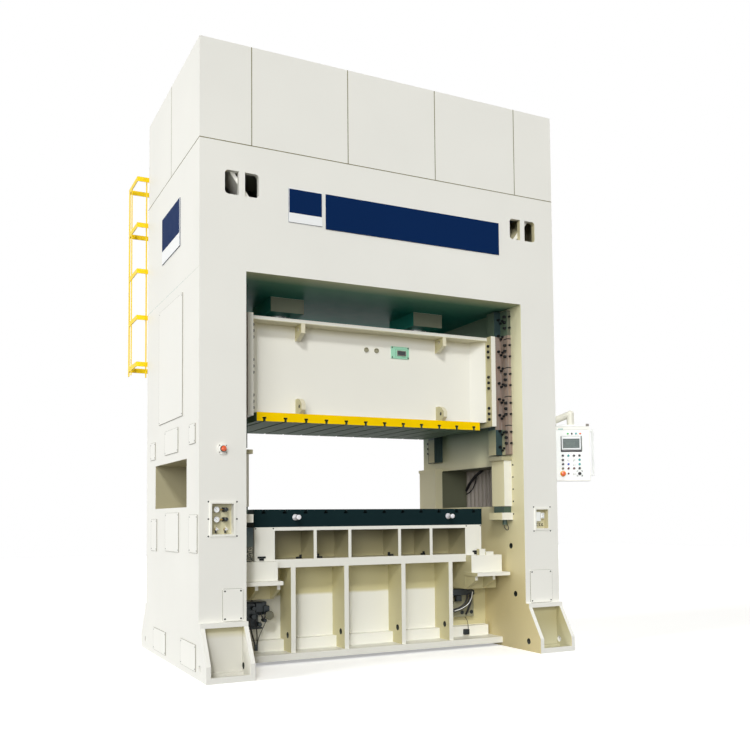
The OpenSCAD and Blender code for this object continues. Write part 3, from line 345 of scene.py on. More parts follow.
class Finish(Tree):
    """A material with its shader, its object coordinates, noises, ramps and masks by place."""

    def __init__(self, name, roughness=0.5, metallic=0, gloss=0.5):
        self.material = bpy.data.materials.new(name)
        self.material.use_nodes = True
        super().__init__(self.material.node_tree)
        self.shader = self.nodes["Principled BSDF"]
        self.set(Roughness=roughness, Metallic=metallic, Specular_IOR_Level=gloss)
        self.place = self.node("TexCoord", "Object")
        self.at, self.facing = (
            [self.node("SeparateXYZ", axis, Vector=vector) for axis in "XYZ"]
            for vector in (self.place, self.node("TexCoord", "Normal")))

    def set(self, **values):
        """Feed the shader's inputs by name."""
        self.feed_all(self.shader.inputs, values)

    def painted(self, colour):
        """The finished material, with this as its base colour."""
        self.set(Base_Color=colour)
        return self.material

    def noise(self, scale, detail=3, stretch=(1, 1, 1)):
        """Noise on object coordinates, scaled by axis."""
        place = self.node("Mapping", Vector=self.place, Scale=stretch)
        return self.node("TexNoise", Vector=place, Scale=scale, Detail=detail)

    def ramp(self, fac, stops):
        """Colours at places along a factor."""
        node = self.nodes.new("ShaderNodeValToRGB")
        elements = node.color_ramp.elements
        while len(elements) < len(stops):
            elements.new(0.5)
        for element, (at, colour) in zip(elements, stops):
            element.position = at
            element.color = linear(colour)
        self.feed(fac, node.inputs["Fac"])
        return Value(self, node.outputs["Color"])

    def swing(self, fac, colour, low, high, at=0.3):
        """One colour that gets darker and lighter along a noise."""
        return self.ramp(fac, [(at, scaled(colour, low)), (1 - at, scaled(colour, high))])

    def fade(self, fac, start, end, low=0, high=1):
        """A grey that runs from low to high between two values of a factor."""
        return self.ramp(fac, [(start, (low, low, low, 1)), (end, (high, high, high, 1))])

    def mix(self, fac, a, b):
        """a where the factor is 0, b where it is 1."""
        node = self.nodes.new("ShaderNodeMix")
        node.data_type = "RGBA"
        self.feed_all(node.inputs, {"Factor": fac, "A": a, "B": b})
        return Value(self, node.outputs["Result"])

    def rough(self, fac, low, high):
        self.set(Roughness=self.node("MapRange", Value=fac, To_Min=low, To_Max=high))

    def bump(self, height, strength, distance=0.001):
        self.set(Normal=self.node("Bump", Height=height, Strength=strength, Distance=distance))

    def inward(self):
        """1 on faces that look towards the middle: X times normal X < -0.3."""
        return self.at[0] * self.facing[0] < -0.3

    def aside(self):
        """1 on faces that look along X."""
        return abs(self.facing[0]) > 0.5

    def holes(self, places):
        """1 inside round holes along X: (|Y| - y)^2 + (Z - z)^2 < r^2 for each (y, z, r)."""
        hits = []
        for y, z, r in places:
            dy, dz = abs(self.at[1]) - y, self.at[2] - z
            hits.append(dy * dy + dz * dz < r * r)
        return sum(hits[1:], hits[0])


# %% The finishes
# Dark painted shade inside holes.
HOLE_SHADE = "#2e322c"


def sprayed(f, colour, spread=0.03, roughness=0.42):
    """Sprayed enamel: tone from slow noise, roughness and skin from fine noise."""
    f.rough(f.noise(6, 4), roughness - 0.06, roughness + 0.08)
    f.bump(f.noise(260, 2), 0.05)
    return f.swing(f.noise(0.7, 2), colour, 1 - spread, 1 + spread * 0.5)


def enamel(name, colour, spread=0.03, roughness=0.42, gloss=0.5):
    f = Finish(name, roughness, gloss=gloss)
    return f.painted(sprayed(f, colour, spread, roughness))


def enamel_and_painted_shade(name, outside, inside, mask=Finish.inward):
    """Enamel with a warm painted shade where a mask is 1: on inward faces, if none is named."""
    f = Finish(name)
    return f.painted(f.mix(mask(f), sprayed(f, outside), inside))


def recess_shade_mask(f):
    """1 in a pocket behind its raised rim, where shade is painted."""
    return f.at[1] > face + 0.002


def shelf_shade_mask(f):
    """Where shade is painted: 1 on inward faces, on the gussets' sides and on all that lies under a
    shelf.
    """
    sloped = f.facing[2] < -0.3
    return (f.at[2] < 0.887) * (f.aside() | sloped | (f.at[1] > -0.7)) | f.inward()


def upright_finish_with_shade(name, outside, inside):
    """Enamel outside; painted shade: a warm tone on inward faces, in the windows and in the feet;
    dark painted shade in the holes; a painted shadow on the right wall under the slide.
    """
    f = Finish(name)
    x, y, z = f.at
    right = x > 0
    # Painted shade on inward faces, darker and yellower low down.
    rise = f.ramp(z * 0.25, [(0.15, "#d4c594"), (0.65, "#e6e2be")])
    tone = f.mix(f.inward(), sprayed(f, outside), rise)
    # Painted shade in the windows: darker khaki on the left, dark green-grey on the right.
    window = (abs(y) < WINDOW_HALF + 0.001) * between(z, WINDOW_LOW, WINDOW_TOP)
    tone = f.mix(window, tone, f.mix(right, scaled(inside, 0.62), "#70725c"))
    # Painted shadow on the right inner wall under the slide, rising towards it and fading towards
    # the front.
    high, back = f.fade(z - 2.3, 0, 0.42), f.fade(y + 0.95, 0, 0.35)
    tone = f.mix(right * f.inward() * high * (z < crown_z) * back, tone, "#667c64")
    # Painted shade in the feet, darker towards the top.
    foot = between(abs(x), inner + 0.047, half - 0.047) * between(abs(y), 1.2, 1.49) * (z < 0.513)
    left_foot_shade = f.ramp(z, [(0.4, "#dad8ce"), (0.48, "#c4bd98")])
    right_foot_shade = f.ramp(z, [(0.06, "#cecaac"), (0.36, "#b8b086")])
    tone = f.mix(foot, tone, f.mix(right, left_foot_shade, right_foot_shade))
    # Dark painted shade in the lifting holes.
    bores = (abs(x) < inner + 0.061) * f.holes(LIFT_HOLES)
    return f.painted(f.mix(bores, tone, HOLE_SHADE))


def bed_finish_with_shade(name, outside, inside):
    """Enamel; painted shade on faces that look along X, such as the ribs' sides, high in the bays
    with a ragged edge, and on the right corner bay's back wall; dark painted shade in the rib
    holes.
    """
    f = Finish(name)
    x, y, z = f.at
    # Painted shade high in the bays, with a ragged edge.
    high = f.fade(z + f.noise(4, 2) * 0.03, 0.725, 0.755)
    bay = (abs(y) < 0.4) * (high | (x > 1.05) * (z > 0.24))
    tone = f.mix(f.aside() | bay, sprayed(f, outside, 0.04), inside)
    return f.painted(f.mix(f.holes(RIB_HOLES), tone, HOLE_SHADE))


def riser_finish_with_shade(name, outside, inside):
    """Enamel outside; painted shade in the pockets behind the front face, warm low down and darker
    towards the top.
    """
    f = Finish(name)
    x, y, z = f.at
    pocket = (abs(y) < 0.679) * (abs(x) < 1.25) * (z < RISER[1].z - 0.002)
    riser_pocket_shade = f.ramp((z - RISER[0].z) * 2.4, [(0.1, inside), (0.95, scaled(inside, 0.42))])
    return f.painted(f.mix(pocket, sprayed(f, outside), riser_pocket_shade))


def post_finish_with_shade(name, outside, inside, cap, neck):
    """Guard post: enamel in front; painted shade on inward faces and on the cap, and a dark painted
    shade on the neck under the post and lower down.
    """
    f = Finish(name)
    z = f.at[2]
    tone = f.mix(f.inward(), sprayed(f, outside), inside)
    tone = f.mix(z > cap, tone, scaled(inside, 0.48))
    return f.painted(f.mix(between(z, *neck) | (z < neck[0] - 0.089), tone, "#405448"))


def gib_painted_light_and_shade(name, front_tone, shaded_tone, low, top):
    """Ground steel with upright streaks: a painted highlight on the front between two levels,
    beside the slide; elsewhere a dark painted shade, and the wall's painted shade on inward faces.
    """
    f = Finish(name, gloss=0.3)
    y, z = f.at[1:]
    lines = f.noise(14, 3, (12, 12, 0.3))
    tone = f.ramp(lines, [(0.3, scaled(front_tone, 0.7)), (0.45, "#967c6a"),
                          (0.55, front_tone), (0.7, scaled(front_tone, 1.25))])
    dark = f.swing(lines, shaded_tone, 0.7, 1.3)
    beside = between(z, low, top)
    # The wall's painted shade, for inward faces outside the band.
    wall = f.ramp(z - 2.3, [(0, SHADE_KHAKI), (0.42, "#5c6c5a")])
    f.bump(lines, 0.06, 0.0006)
    steel = f.mix((y < -0.83) * beside, dark, tone)
    return f.painted(f.mix(f.inward() * (1 - beside), steel, wall))


def crown_finish_with_shade(name, outside, inside, level):
    """Enamel; a dark green painted shade on the underside that pales towards the front edge, with
    little gloss there; a grey painted shade on faces below the level, and painted shade on inward
    faces.
    """
    f = Finish(name)
    y, z = f.at[1:]
    low = z < level + 0.002
    under = low * ((f.facing[2] < -0.5) | f.aside())
    underside_shade = f.ramp((y - face) * 0.8, [(0, "#bec09e"), (0.26, "#608e78"), (0.8, "#22887a")])
    tone = f.mix(f.inward(), sprayed(f, outside), inside)
    tone = f.mix(low * (z < level - 0.002), tone, "#8c8e7a")
    f.set(Specular_IOR_Level=0.5 - under * 0.45)
    return f.painted(f.mix(under, tone, underside_shade))


def slide_finish_with_shade(name, outside, inside):
    """Enamel; a warm painted shade under the flange, and painted shade on the lugs' sides and
    fronts and on the wings' inward faces.
    """
    f = Finish(name)
    x, y = abs(f.at[0]), abs(f.at[1])
    down = SLIDE[1].z - 0.043 - f.at[2]
    shade = f.fade(down, 0, 0.09, 0.8, 0) * (down > 0) * (x < 1.54)
    lug_front = between(x, 0.9, 0.96) * between(y, 0.59, 0.8) * (down > 0)
    skin = f.mix(shade, sprayed(f, outside), "#cec6a0")
    skin = f.mix(lug_front, skin, "#e2dbc0")
    lug, strip = f.aside() * between(x, 0.85, 1), f.inward() * between(x, 1.54, 1.56)
    return f.painted(f.mix(lug | strip, skin, inside))


def milled(name, colour, roughness=0.35):
    """Machined steel: gloss and tone run in fine lines across the height."""
    f = Finish(name, roughness, 1)
    lines = f.noise(12, 5, (1, 1, 40))
    f.rough(lines, roughness - 0.1, roughness + 0.15)
    f.bump(lines, 0.08, 0.0006)
    blotch = f.fade(f.noise(2.5, 3), 0.35, 0.8, 0, 0.35)
    tone = f.swing(lines, colour, 0.82, 1.12)
    return f.painted(f.mix(blotch, tone, scaled(colour, 0.7)))


def moulded(name, colour, roughness=0.38):
    """Moulded plastic or rubber: an even colour under a fine grain."""
    f = Finish(name, roughness)
    f.bump(f.noise(900, 2), 0.06, 0.0004)
    return f.painted(f.swing(f.noise(30, 3), colour, 0.93, 1.06))


def lamp_lens(name, colour, glow=0):
    """A coloured, lacquered cap, lit a little from inside."""
    f = Finish(name, 0.18)
    f.set(Emission_Color=colour, Emission_Strength=glow, Coat_Weight=0.5)
    return f.painted(f.swing(f.noise(60, 2), colour, 0.85, 1.1, 0.2))


def banded(name, base, above, band, limit, gloss, roughness=0.6):
    """Base finish, another on top, and a painted band on the long edges, where |Y| > limit."""
    f = Finish(name, roughness)
    lines = f.noise(12, 5, (1, 40, 1))
    lower_faces_tone = f.swing(lines, base, 0.8, 1.15)
    upper = f.swing(lines, above, 0.85, 1.1)
    tone = f.swing(f.noise(3, 3), band, 0.93, 1.03)
    edge = abs(f.at[1]) > limit
    f.set(Specular_IOR_Level=(1 - edge) * gloss)
    f.rough(lines, roughness - 0.1, roughness + 0.12)
    f.bump(lines, 0.06, 0.0006)
    return f.painted(f.mix(edge, f.mix(f.facing[2] > 0.5, lower_faces_tone, upper), tone))


# %% [markdown]
# ## Dressing the frame's own solids
# Most of the press is already the right shape, so each solid only takes its finish. Where one
# solid carries two finishes, a mask on object coordinates divides them: the slide plate's long
# edges are yellow from every side. Other masks paint shade: on inward faces, under shelves,
# flanges and the crown, in pockets, windows and holes; and the gibs take a painted highlight
# beside the slide.

# %% A finish for every solid
dressed = []


def dress(names, finish):
    """Give these solids of the frame the finish; returns it."""
    for name in names.split():
        data = frame["nodes"][name].data
        data.materials.clear()
        data.materials.append(finish)
        dressed.append(name)
    return finish


# The khaki, and the inner colour that each shaded finish below takes, are painted shade on inward,
# sheltered and hidden faces.
SHADE_KHAKI, WHITE, WARM_WHITE = "#d6cda6", "#eeede6", "#eeede4"
dress("parapet_front parapet_rear parapet_left parapet_right arm_bracket bearing_blocks",
      enamel_and_painted_shade("cream_enamel_painted_shade", WHITE, SHADE_KHAKI))
dress("left_upright right_upright", upright_finish_with_shade("upright_enamel_painted_shade", WHITE, SHADE_KHAKI))
dress("crown", crown_finish_with_shade("crown_enamel_painted_shade", WHITE, SHADE_KHAKI, crown_z))
dress("slide", slide_finish_with_shade("slide_enamel_painted_shade", "#f0eee4", "#c4bc92"))
dress("bed", bed_finish_with_shade("bed_enamel_painted_shade", WARM_WHITE, "#ccc498"))
dress("bed_riser", riser_finish_with_shade("riser_enamel_painted_shade", WARM_WHITE, "#b2aa84"))
dress("die_bracket_left die_bracket_right",
      enamel_and_painted_shade("shelf_enamel_painted_shade", WARM_WHITE, "#c6be94", shelf_shade_mask))
dress("guard_front_left guard_front_right", post_finish_with_shade(
    "post_enamel", "#eceae0", "#f0e7bc", 2.3015, (1.6575, 1.7365)))
# The rear posts take the cream in a warmer, darker tone: painted shade, since they stand in shade
# at the back.
dress("guard_rear_left guard_rear_right", enamel("rear_post_shaded_cream", "#eae3be", 0.04))
dress("air_panel junction_panel", enamel_and_painted_shade("recess_enamel_painted_shade", "#f2f1e8", "#cec8a6", recess_shade_mask))
dress("swing_arm", enamel("arm_enamel", "#e2e0d2"))
dress("window_shutter", enamel("grey_shutter", "#bab0a6", 0.06, 0.5))
dress("ladder ladder_cage", enamel("safety_yellow", "#ffda0c", 0.04, 0.4, 0.3))
# The gibs: a painted highlight beside the slide, painted shade above and below it.
dress("gib_blocks", gib_painted_light_and_shade("gib_block_painted_light", "#928880", "#606454", 0, SLIDE[1].z))
dress("gib_bars gib_liners", gib_painted_light_and_shade("gib_bar_painted_light", "#8c827a", "#344848",
                                      SLIDE[0].z - 0.04, SLIDE[1].z))
# The slide plate: steel grey on top and yellow on its long edges; its other faces take a dark
# green-grey that is painted shade.
dress("slide_plate", banded("slide_plate_finish", "#546e5c", "#c4c0b2", "#ffd406",
                            PLATE[1].y - 0.0008, 0.3))
dress("bolster", banded("bolster_finish", "#101e20", "#162224", "#1a2c2f",
                        BOLSTER[1].y - 0.0008, 0.12))
dress("lube_unit nut_left nut_right rotor_left rotor_right", milled("ground_steel", "#b0b0ae"))
cream_light = dress("side_covers front_covers stop_plate stroke_counter air_tank parapet_posts",
                    enamel("cream_cover_enamel", "#f0efe8", 0.015, 0.38))
panel_white = dress("control_panel", enamel("panel_enamel", "#f6f8f5", 0.01, 0.35))
navy_plate = dress("name_plates", enamel("navy_plate", "#082652", 0.05, 0.55, 0.04))
blackened = dress("valve_unit gib_bolts slide_bolts motor_left motor_right air_gauges",
                  enamel("black_enamel", "#141819", 0.12, 0.45, 0.25))
black = dress("regulator_knob_upper regulator_knob_lower panel_keys panel_screen panel_selector",
              moulded("black_plastic", "#18191c"))
red = dress("column_stop panel_stop", lamp_lens("red_cap", "#e85c24"))
steel_dark = dress("balance_cylinders", milled("oiled_steel", "#605c54", 0.38))
steel_bright = dress("bolster_pegs screw_left screw_right", milled("bright_steel", "#cececc", 0.25))
chrome = dress("balance_rods", milled("chromed_steel", "#e4e4e4", 0.14))
seam_dark = moulded("seam_shadow", "#969488", 0.7)
seam_olive = moulded("joint_putty", "#6c663c", 0.7)
white_plate = enamel("white_plate", "#f4f6f6", 0.01, 0.3)
dial_white = enamel("dial_white", "#eef0f0", 0.01, 0.35)
stone_grey = enamel("stone_grey", "#847e76", 0.06, 0.5)
plate_brown = enamel("unit_plate_enamel", "#8c8a72", 0.06)
brass = milled("turned_brass", "#b0945c", 0.3)
rubber = moulded("black_hose", "#141416", 0.55)
print(len(dressed), "of", len(frame["nodes"]), "solids dressed")

# %% [markdown]
# ## Floor and light
# A press this tall is lit like a product on a sweep: one broad lamp in front and above, a low
# soft one in front, one from the left, a faint fill from the right, and a pale room all round.
# The room and the floor show white to the eye and to polished metal, but send little light up
# under the crown, which stays dark as it would in a hall; its underside also carries painted shade.

# %% Floor, room and lamps
def seen(tree):
    """1 for rays from the eye, in polished metal and through glass."""
    eye, metal, glass = (tree.node("LightPath", f"Is {kind} Ray")
                         for kind in ("Camera", "Glossy", "Transmission"))
    return eye | metal | glass


def add_floor(size=60):
    """A floor plane: white where seen, greyer where it only bounces light."""
    f = Finish("floor")
    f.nodes.remove(f.shader)
    white = seen(f)
    tone = f.mix(white, (0.26, 0.26, 0.26, 1), (0.95, 0.95, 0.95, 1))
    both = f.nodes.new("ShaderNodeAddShader")
    f.feed(f.node("BsdfDiffuse", Color=tone), both.inputs[0])
    f.feed(f.node("Emission", Strength=white * 0.35), both.inputs[1])
    f.links.new(both.outputs[0], f.nodes["Material Output"].inputs["Surface"])
    mesh = bpy.data.meshes.new("floor")
    s = size / 2
    mesh.from_pydata([(-s, -s, 0), (s, -s, 0), (s, s, 0), (-s, s, 0)], [], [(0, 1, 2, 3)])
    mesh.materials.append(f.material)
    floor = add("floor", mesh)


def add_room(ambient=0.27):
    """The world: white to the eye, glossy and transmitted rays, a soft warm light to the rest."""
    world = bpy.context.scene.world = bpy.data.worlds.new("room")
    world.use_nodes = True
    room = Tree(world.node_tree)
    room.nodes.clear()
    mix = room.nodes.new("ShaderNodeMixShader")
    soft = room.node("Background", Color=(1, 0.965, 0.86, 1), Strength=ambient)
    white = room.node("Background", Color=(1, 1, 1, 1), Strength=1)
    for value, socket in zip((seen(room), soft, white), mix.inputs):
        room.feed(value, socket)
    output = room.nodes.new("ShaderNodeOutputWorld")
    room.links.new(mix.outputs[0], output.inputs["Surface"])


def add_sun(name, strength, around, above, angle):
    """A far lamp; around is measured from the front towards the left, above from the floor."""
    data = bpy.data.lights.new(name, "SUN")
    data.energy = strength
    data.color = (0.98, 0.99, 1)
    data.angle = math.radians(angle)
    a, e = math.radians(around), math.radians(above)
    towards = Vector((-math.sin(a) * math.cos(e), -math.cos(a) * math.cos(e), math.sin(e)))
    add(name, data).rotation_euler = towards.to_track_quat("Z", "Y").to_euler()


add_floor()
add_room()
for lamp in (("key_lamp", 1.3, 28, 35, 8), ("front_lamp", 1.24, 32, 9, 30),
             ("side_lamp", 1.42, 88, 22, 14), ("fill_lamp", 1, -100, 18, 40)):
    add_sun(*lamp)
bpy.context.scene.view_settings.view_transform = "Standard"
print("floor, room and", len(bpy.data.lights), "lamps")

# %% [markdown]
# ## Name plates and covers
# The plates on the crown are bare enamelled fields: navy, with a white strip under the small
# ones. The covers on the side walls are sheet steel held by four screws, and each shows as a
# thin dark joint. A rim carried round each outline gives that joint an edge that catches light.

# %% Plates on the crown
plate_out = -face + 0.008
banner_mid, banner_w = 0.3, 2.28
small_mid, small_w = -1.079, 0.392
left_mid, left_w = 0.01, 0.84


def name_plate(axes, mid, level, out, w, h):
    return put(pad(w, h, 0.002, 0.003), axes, mid, crown_z + level, out)


piece("plate_fields", [
    name_plate(FRONT, banner_mid, 0.77, plate_out, banner_w, 0.39),
    name_plate(FRONT, small_mid, 0.829, plate_out + 0.0015, small_w - 0.012, 0.262),
    name_plate(LEFTWARD, left_mid, 0.778, half + 0.0095, left_w - 0.016, 0.388)], navy_plate)
piece("plate_strips", [
    name_plate(FRONT, small_mid, 0.782, plate_out, small_w, 0.374),
    name_plate(LEFTWARD, left_mid, 0.704, half + 0.008, left_w, 0.544)], white_plate)

# %% Joints and screws of the covers
side_covers = [
    (-0.56, 0.55, 2.73, 4.075), (-0.37, 0.24, 2.35, 2.62), (0.745, 0.995, 2.335, 2.542),
    (-1.09, -0.85, 2.392, 2.595), (0.646, 0.937, 1.236, 1.612), (-0.41, 0.203, 1.252, 1.68),
    (-1.172, -0.855, 1.265, 1.653), (0.18, 0.796, 0.063, 0.319), (-1.121, -0.518, 0.073, 0.339)]
front_covers = [(-half + 0.248, -half + 0.46, 0.571, 0.896),
                (half - 0.43, half - 0.109, 0.569, 0.958)]
screw_in = 0.022
joints, heads = [], []


def screw_head(r=0.009, t=0.004):
    """A low round head with a sunk socket."""
    return turned([(r, 0), (r, 0.6 * t), (0.85 * r, t), (0.45 * r, t), (0.42 * r, 0.35 * t)], 16)


def cover(axes, sign, place, out, band, r, head_out):
    """The joint round one cover and its four corner screws; place is (low, high, foot, top)."""
    low, high, foot, top = place
    joint = rim(high - low + 0.006, top - foot + 0.006, 0.0085, band, r)
    joints.append(put(joint, axes, sign * (low + high) / 2, (foot + top) / 2, out))
    for a in (low + screw_in, high - screw_in):
        for z in (foot + screw_in, top - screw_in):
            heads.append(put(screw_head(), axes, sign * a, z, out + head_out))


for place in side_covers:
    cover(LEFTWARD, -1, place, half, 0.0035, 0.006, 0.0045)
    cover(RIGHTWARD, 1, place, half, 0.0035, 0.006, 0.0045)
for place in front_covers:
    cover(FRONT, 1, place, -face, 0.004, 0.02, 0.008)
piece("cover_joints", joints, seam_dark)
piece("cover_screws", heads, blackened, smooth=True)

# %% Joints of the parapet
joint_w, proud, sunk = 0.009, 0.0008, 0.003
wide, deep, tall = 2 * half, rear - face, PARAPET[1].z - deck
middle = deck + tall / 2
runs = [(axes, 0, deck, out, length, joint_w) for axes, out, length in (
    (FRONT, -face, wide), (REAR, rear, wide), (LEFTWARD, half, deep), (RIGHTWARD, half, deep))]
for x in (-1.6875, -0.5625, 0.5625, 1.6875):
    runs += [(FRONT, x, middle, -face, joint_w, tall)]
    runs += [(REAR, -x, middle, rear, joint_w, tall)] if x > -1 else []
runs += [(axes, 0, middle, half, joint_w, tall) for axes in (LEFTWARD, RIGHTWARD)]
piece("parapet_joints", [put(pad(w, h, proud + sunk, 0.0005, 0.0002), axes, a, u, o - sunk)
                         for axes, a, u, o, w, h in runs], seam_olive)

# %% [markdown]
# ## Emergency stops
# A mushroom button is a turned shape: a stem, a wide cap with a rounded rim and a shallow crown.
# The cap sits on a yellow ring. Turning one profile gives the whole cap, and the same function
# serves both stops.

# %% Mushroom caps and their rings
def mushroom(thick, stem, r=0.0285):
    """A cap and the stem behind it: under-side, quarter-round rim, then a shallow dome."""
    a = np.linspace(0, np.pi / 2, 6)
    edge = [(r - 0.006 + 0.006 * math.cos(t), thick - 0.012 + 0.006 * math.sin(t)) for t in a]
    dome = [((r - 0.006) * (1 - s), thick - 0.006 + 0.005 * (1 - (1 - s) ** 2))
            for s in (0.25, 0.5, 0.75, 1)]
    cap = turned([(r * 0.55, 0), (r * 0.6, 0.005), (r - 0.001, 0.007)] + edge + dome, 40)
    return cap, turned([(0.0098, -stem), (0.0098, 0.001)], 24)


def stop_ring(r, shoulder, top_r, top):
    return turned([(r, 0), (r, shoulder), (top_r, top), (0.0125, top), (0.0125, 0)], 40)


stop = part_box("column_stop")
stop_x, stop_z = (stop[0].x + stop[1].x) / 2, (stop[0].z + stop[1].z) / 2
stop_cap = piece("column_stop_cap",
                 [front(shape, stop_x, stop_z, -stop[0].y - 0.024)
                  for shape in mushroom(0.024, 0.024)], red, "column_stop_button", True)
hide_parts("column_stop")
yellow_ring = lamp_lens("yellow_ring", "#f4be14")
piece("column_stop_ring", fronts((stop_ring(0.0368, 0.0055, 0.034, 0.0075), stop_x, stop_z,
                                  -face + 0.0225)), yellow_ring, smooth=True)
piece("column_stop_screws",
      [front(screw_head(0.006, 0.003), stop_x + 0.05 * math.cos(a),
           stop_z + 0.05 * math.sin(a), -face + 0.0095)
       for a in np.arange(4) * np.pi / 2 + np.pi / 4], steel_dark, smooth=True)

# %% [markdown]
# ## Control panel
# The panel is a painted box with a framed screen, four lamps, rows of push-buttons, an emergency
# stop and a selector. Each button is a metal collar with a coloured cap. They are laid out on
# the panel's own axes, which come from the direction its stop button is pushed in.

# %% The panel's axes and its buttons
joint = {j["name"]: j for j in frame["joints"]}
push = np.array(joint["panel_stop_push"]["axis"])
PANEL = side_frame(-push)
swivel = joint["panel_swivel"]["pos_m"]
panel_foot = 2.042
panel_at = np.array([swivel[0], swivel[1], panel_foot])
panel_front = 0.055


def on_panel(shape, across, up, out=0):
    """A local shape on the panel's front, about its swivel axis."""
    points, faces = moved(shape, across, up, panel_front + out)
    return on(PANEL, points, panel_at), faces


def slabs(*rows, out=0):
    """Pads on the panel's front: each row is (across, up, w, h, t, r)."""
    return [on_panel(pad(*size), x, z, out) for x, z, *size in rows]


def key_cap(r, rise):
    """A button cap: straight side, rounded edge, slightly dished face."""
    return turned([(r, 0), (r, rise - 0.003), (r - 0.0012, rise - 0.0008), (r - 0.003, rise),
                   (0.5 * r, rise - 0.001), (0, rise - 0.0012)], 28)


def collar(r, band=0.003, rise=0.006):
    """A flat ring round a button."""
    wide = r + band
    return turned([(wide, 0), (wide, rise - 0.001), (wide - 0.001, rise), (r, rise), (r, 0)], 28)


key_x = [-0.118, -0.049, 0.02, 0.089]
key_z = [0.318, 0.265, 0.212, 0.159]
low_z, lamp_z = 0.094, 0.593
caps = {"black": black, "red": red, "green": lamp_lens("green_lens", "#3cb450", 0.1)}
for name, tone in (("teal", "#1e9696"), ("white", "#e8eae6"), ("blue", "#1c46aa"),
                   ("olive", "#4e4a22"), ("maroon", "#5c1c1a")):
    caps[name] = lamp_lens(name + "_cap", tone)
rows = ["black teal black black", "black white white teal", "black blue white teal",
        "olive maroon maroon black"]
by_colour = {}
for z, row in zip(key_z, rows):
    for x, colour in zip(key_x, row.split()):
        by_colour.setdefault(colour, []).append((x, z, 0.0145, 0.0155))
by_colour["maroon"].append((key_x[1], low_z, 0.0125, 0.0115))
by_colour["white"].append((key_x[2], low_z, 0.0155, 0.0155))
for x, colour in zip((-0.05, 0, 0.052, 0.104), ("green", "black", "teal", "red")):
    by_colour.setdefault(colour, []).append((x, lamp_z, 0.0125, 0.0115))
spots = [s for group in by_colour.values() for s in group]
collars = piece("button_collars", [on_panel(collar(r), x, z) for x, z, r, _ in spots],
                steel_bright, "panel", True)
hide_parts("panel_keys")
for colour, group in by_colour.items():
    piece("caps_" + colour, [on_panel(key_cap(r, rise), x, z) for x, z, r, rise in group],
          caps[colour], "panel", True)

# %% Stop, selector and trim of the panel
panel_cap = piece("panel_stop_cap", [on_panel(shape, key_x[0], low_z, 0.0124)
                                     for shape in mushroom(0.022, 0.044)],
                  red, "panel_stop_button", True)
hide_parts("panel_stop")
piece("panel_stop_ring", [on_panel(stop_ring(0.0365, 0.004, 0.035, 0.006), key_x[0], low_z)],
      yellow_ring, "panel", True)
glass_x, glass_z = -0.0075, 0.469
frame_x = -0.009
piece("screen_glass", slabs((glass_x, glass_z, 0.209, 0.112, 0.003, 0.002), out=-0.0005),
      lamp_lens("screen_glass", "#5c6864", 0.02), "panel")
piece("screen_marks", slabs(*[(glass_x, z, 0.185, 0.004, 0.0006, 0.001) for z in (0.503, 0.435)],
                            *[(-0.02, z, 0.12, 0.003, 0.0006, 0.001)
                              for z in (0.485, 0.469, 0.453)], out=0.0026),
      lamp_lens("screen_marks", "#788a84"), "panel")
piece("screen_bezel", [on_panel(rim(0.236, 0.146, 0.0045, 0.014, 0.004), frame_x, 0.471)],
      white_plate, "panel")
screen_frame = piece("screen_frame", slabs(
    (-0.135, 0.4645, 0.01, 0.195, 0.006, 0.002), (0.1165, 0.4645, 0.01, 0.195, 0.006, 0.002),
    (frame_x, 0.376, 0.262, 0.02, 0.006, 0.002),
) + slabs((glass_x, glass_z, 0.217, 0.12, 0.0008, 0.002), out=-0.0012), black, "panel")
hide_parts("panel_screen")
piece("panel_edge", [on_panel(rim(0.446, 0.68, 0.004, 0.012, 0.006), 0, 0.342)]
      + slabs((0, 0.655, 0.43, 0.03, 0.006, 0.004)), cream_light, "panel")
piece("panel_roof", slabs((0, 0.694, 0.44, 0.02, 0.012, 0.003), out=-0.006)
      + slabs((0, 0.018, 0.43, 0.006, 0.002, 0.001)), panel_white, "panel")
piece("panel_corners", slabs(*[(x, z, 0.04, 0.03, 0.01, 0.004) for x, z in (
    (-0.214, 0.7), (0.196, 0.7), (-0.216, 0.012))], out=-0.001), stone_grey, "panel")
piece("panel_label", slabs((-0.14, 0.65, 0.062, 0.018, 0.0012, 0.002), out=0.0055),
      enamel("pale_teal", "#b0cec4", 0.02), "panel")
piece("selector_corners", slabs(*[
    (key_x[3] + sx * x, low_z + sz * z, w, h, 0.0012, 0.001) for sx, sz in CORNERS
    for w, h, x, z in ((0.018, 0.007, 0.027, 0.0325), (0.007, 0.018, 0.0325, 0.027))]),
    black, "panel")
piece("key_labels", slabs(*[(x, z + 0.0255, 0.034, 0.007, 0.0008, 0.001)
                            for x in key_x for z in key_z]), white_plate, "panel")

# %% [markdown]
# ## Heads on the guides and the slide
# Socket cap screws hold the gib blocks, the bars and the slide's guide rails. Every head is one
# short turned shape with a dozen sides, because there are hundreds; a rounder head would cost
# faces that nobody sees. One list of places serves all four corners by mirroring X and Y.

# %% Screws of the gibs
def cap_screw(r, length, n=12):
    """A cylinder head with a bevelled edge and a sunk socket."""
    return turned([(r, 0), (r, 0.88 * length), (0.9 * r, length), (0.5 * r, length),
                   (0.45 * r, 0.5 * length)], n)


def on_inner(shape, side, y, z, x):
    """A shape on a face at X = side * x that looks towards the middle."""
    return put(shape, side_frame((-side, 0, 0)), -side * y, z, -x)


def on_end(shape, side, x, z, y):
    """A shape on a face at Y = side * y that looks away from the middle."""
    return put(shape, side_frame((0, side, 0)), -side * x, z, y)


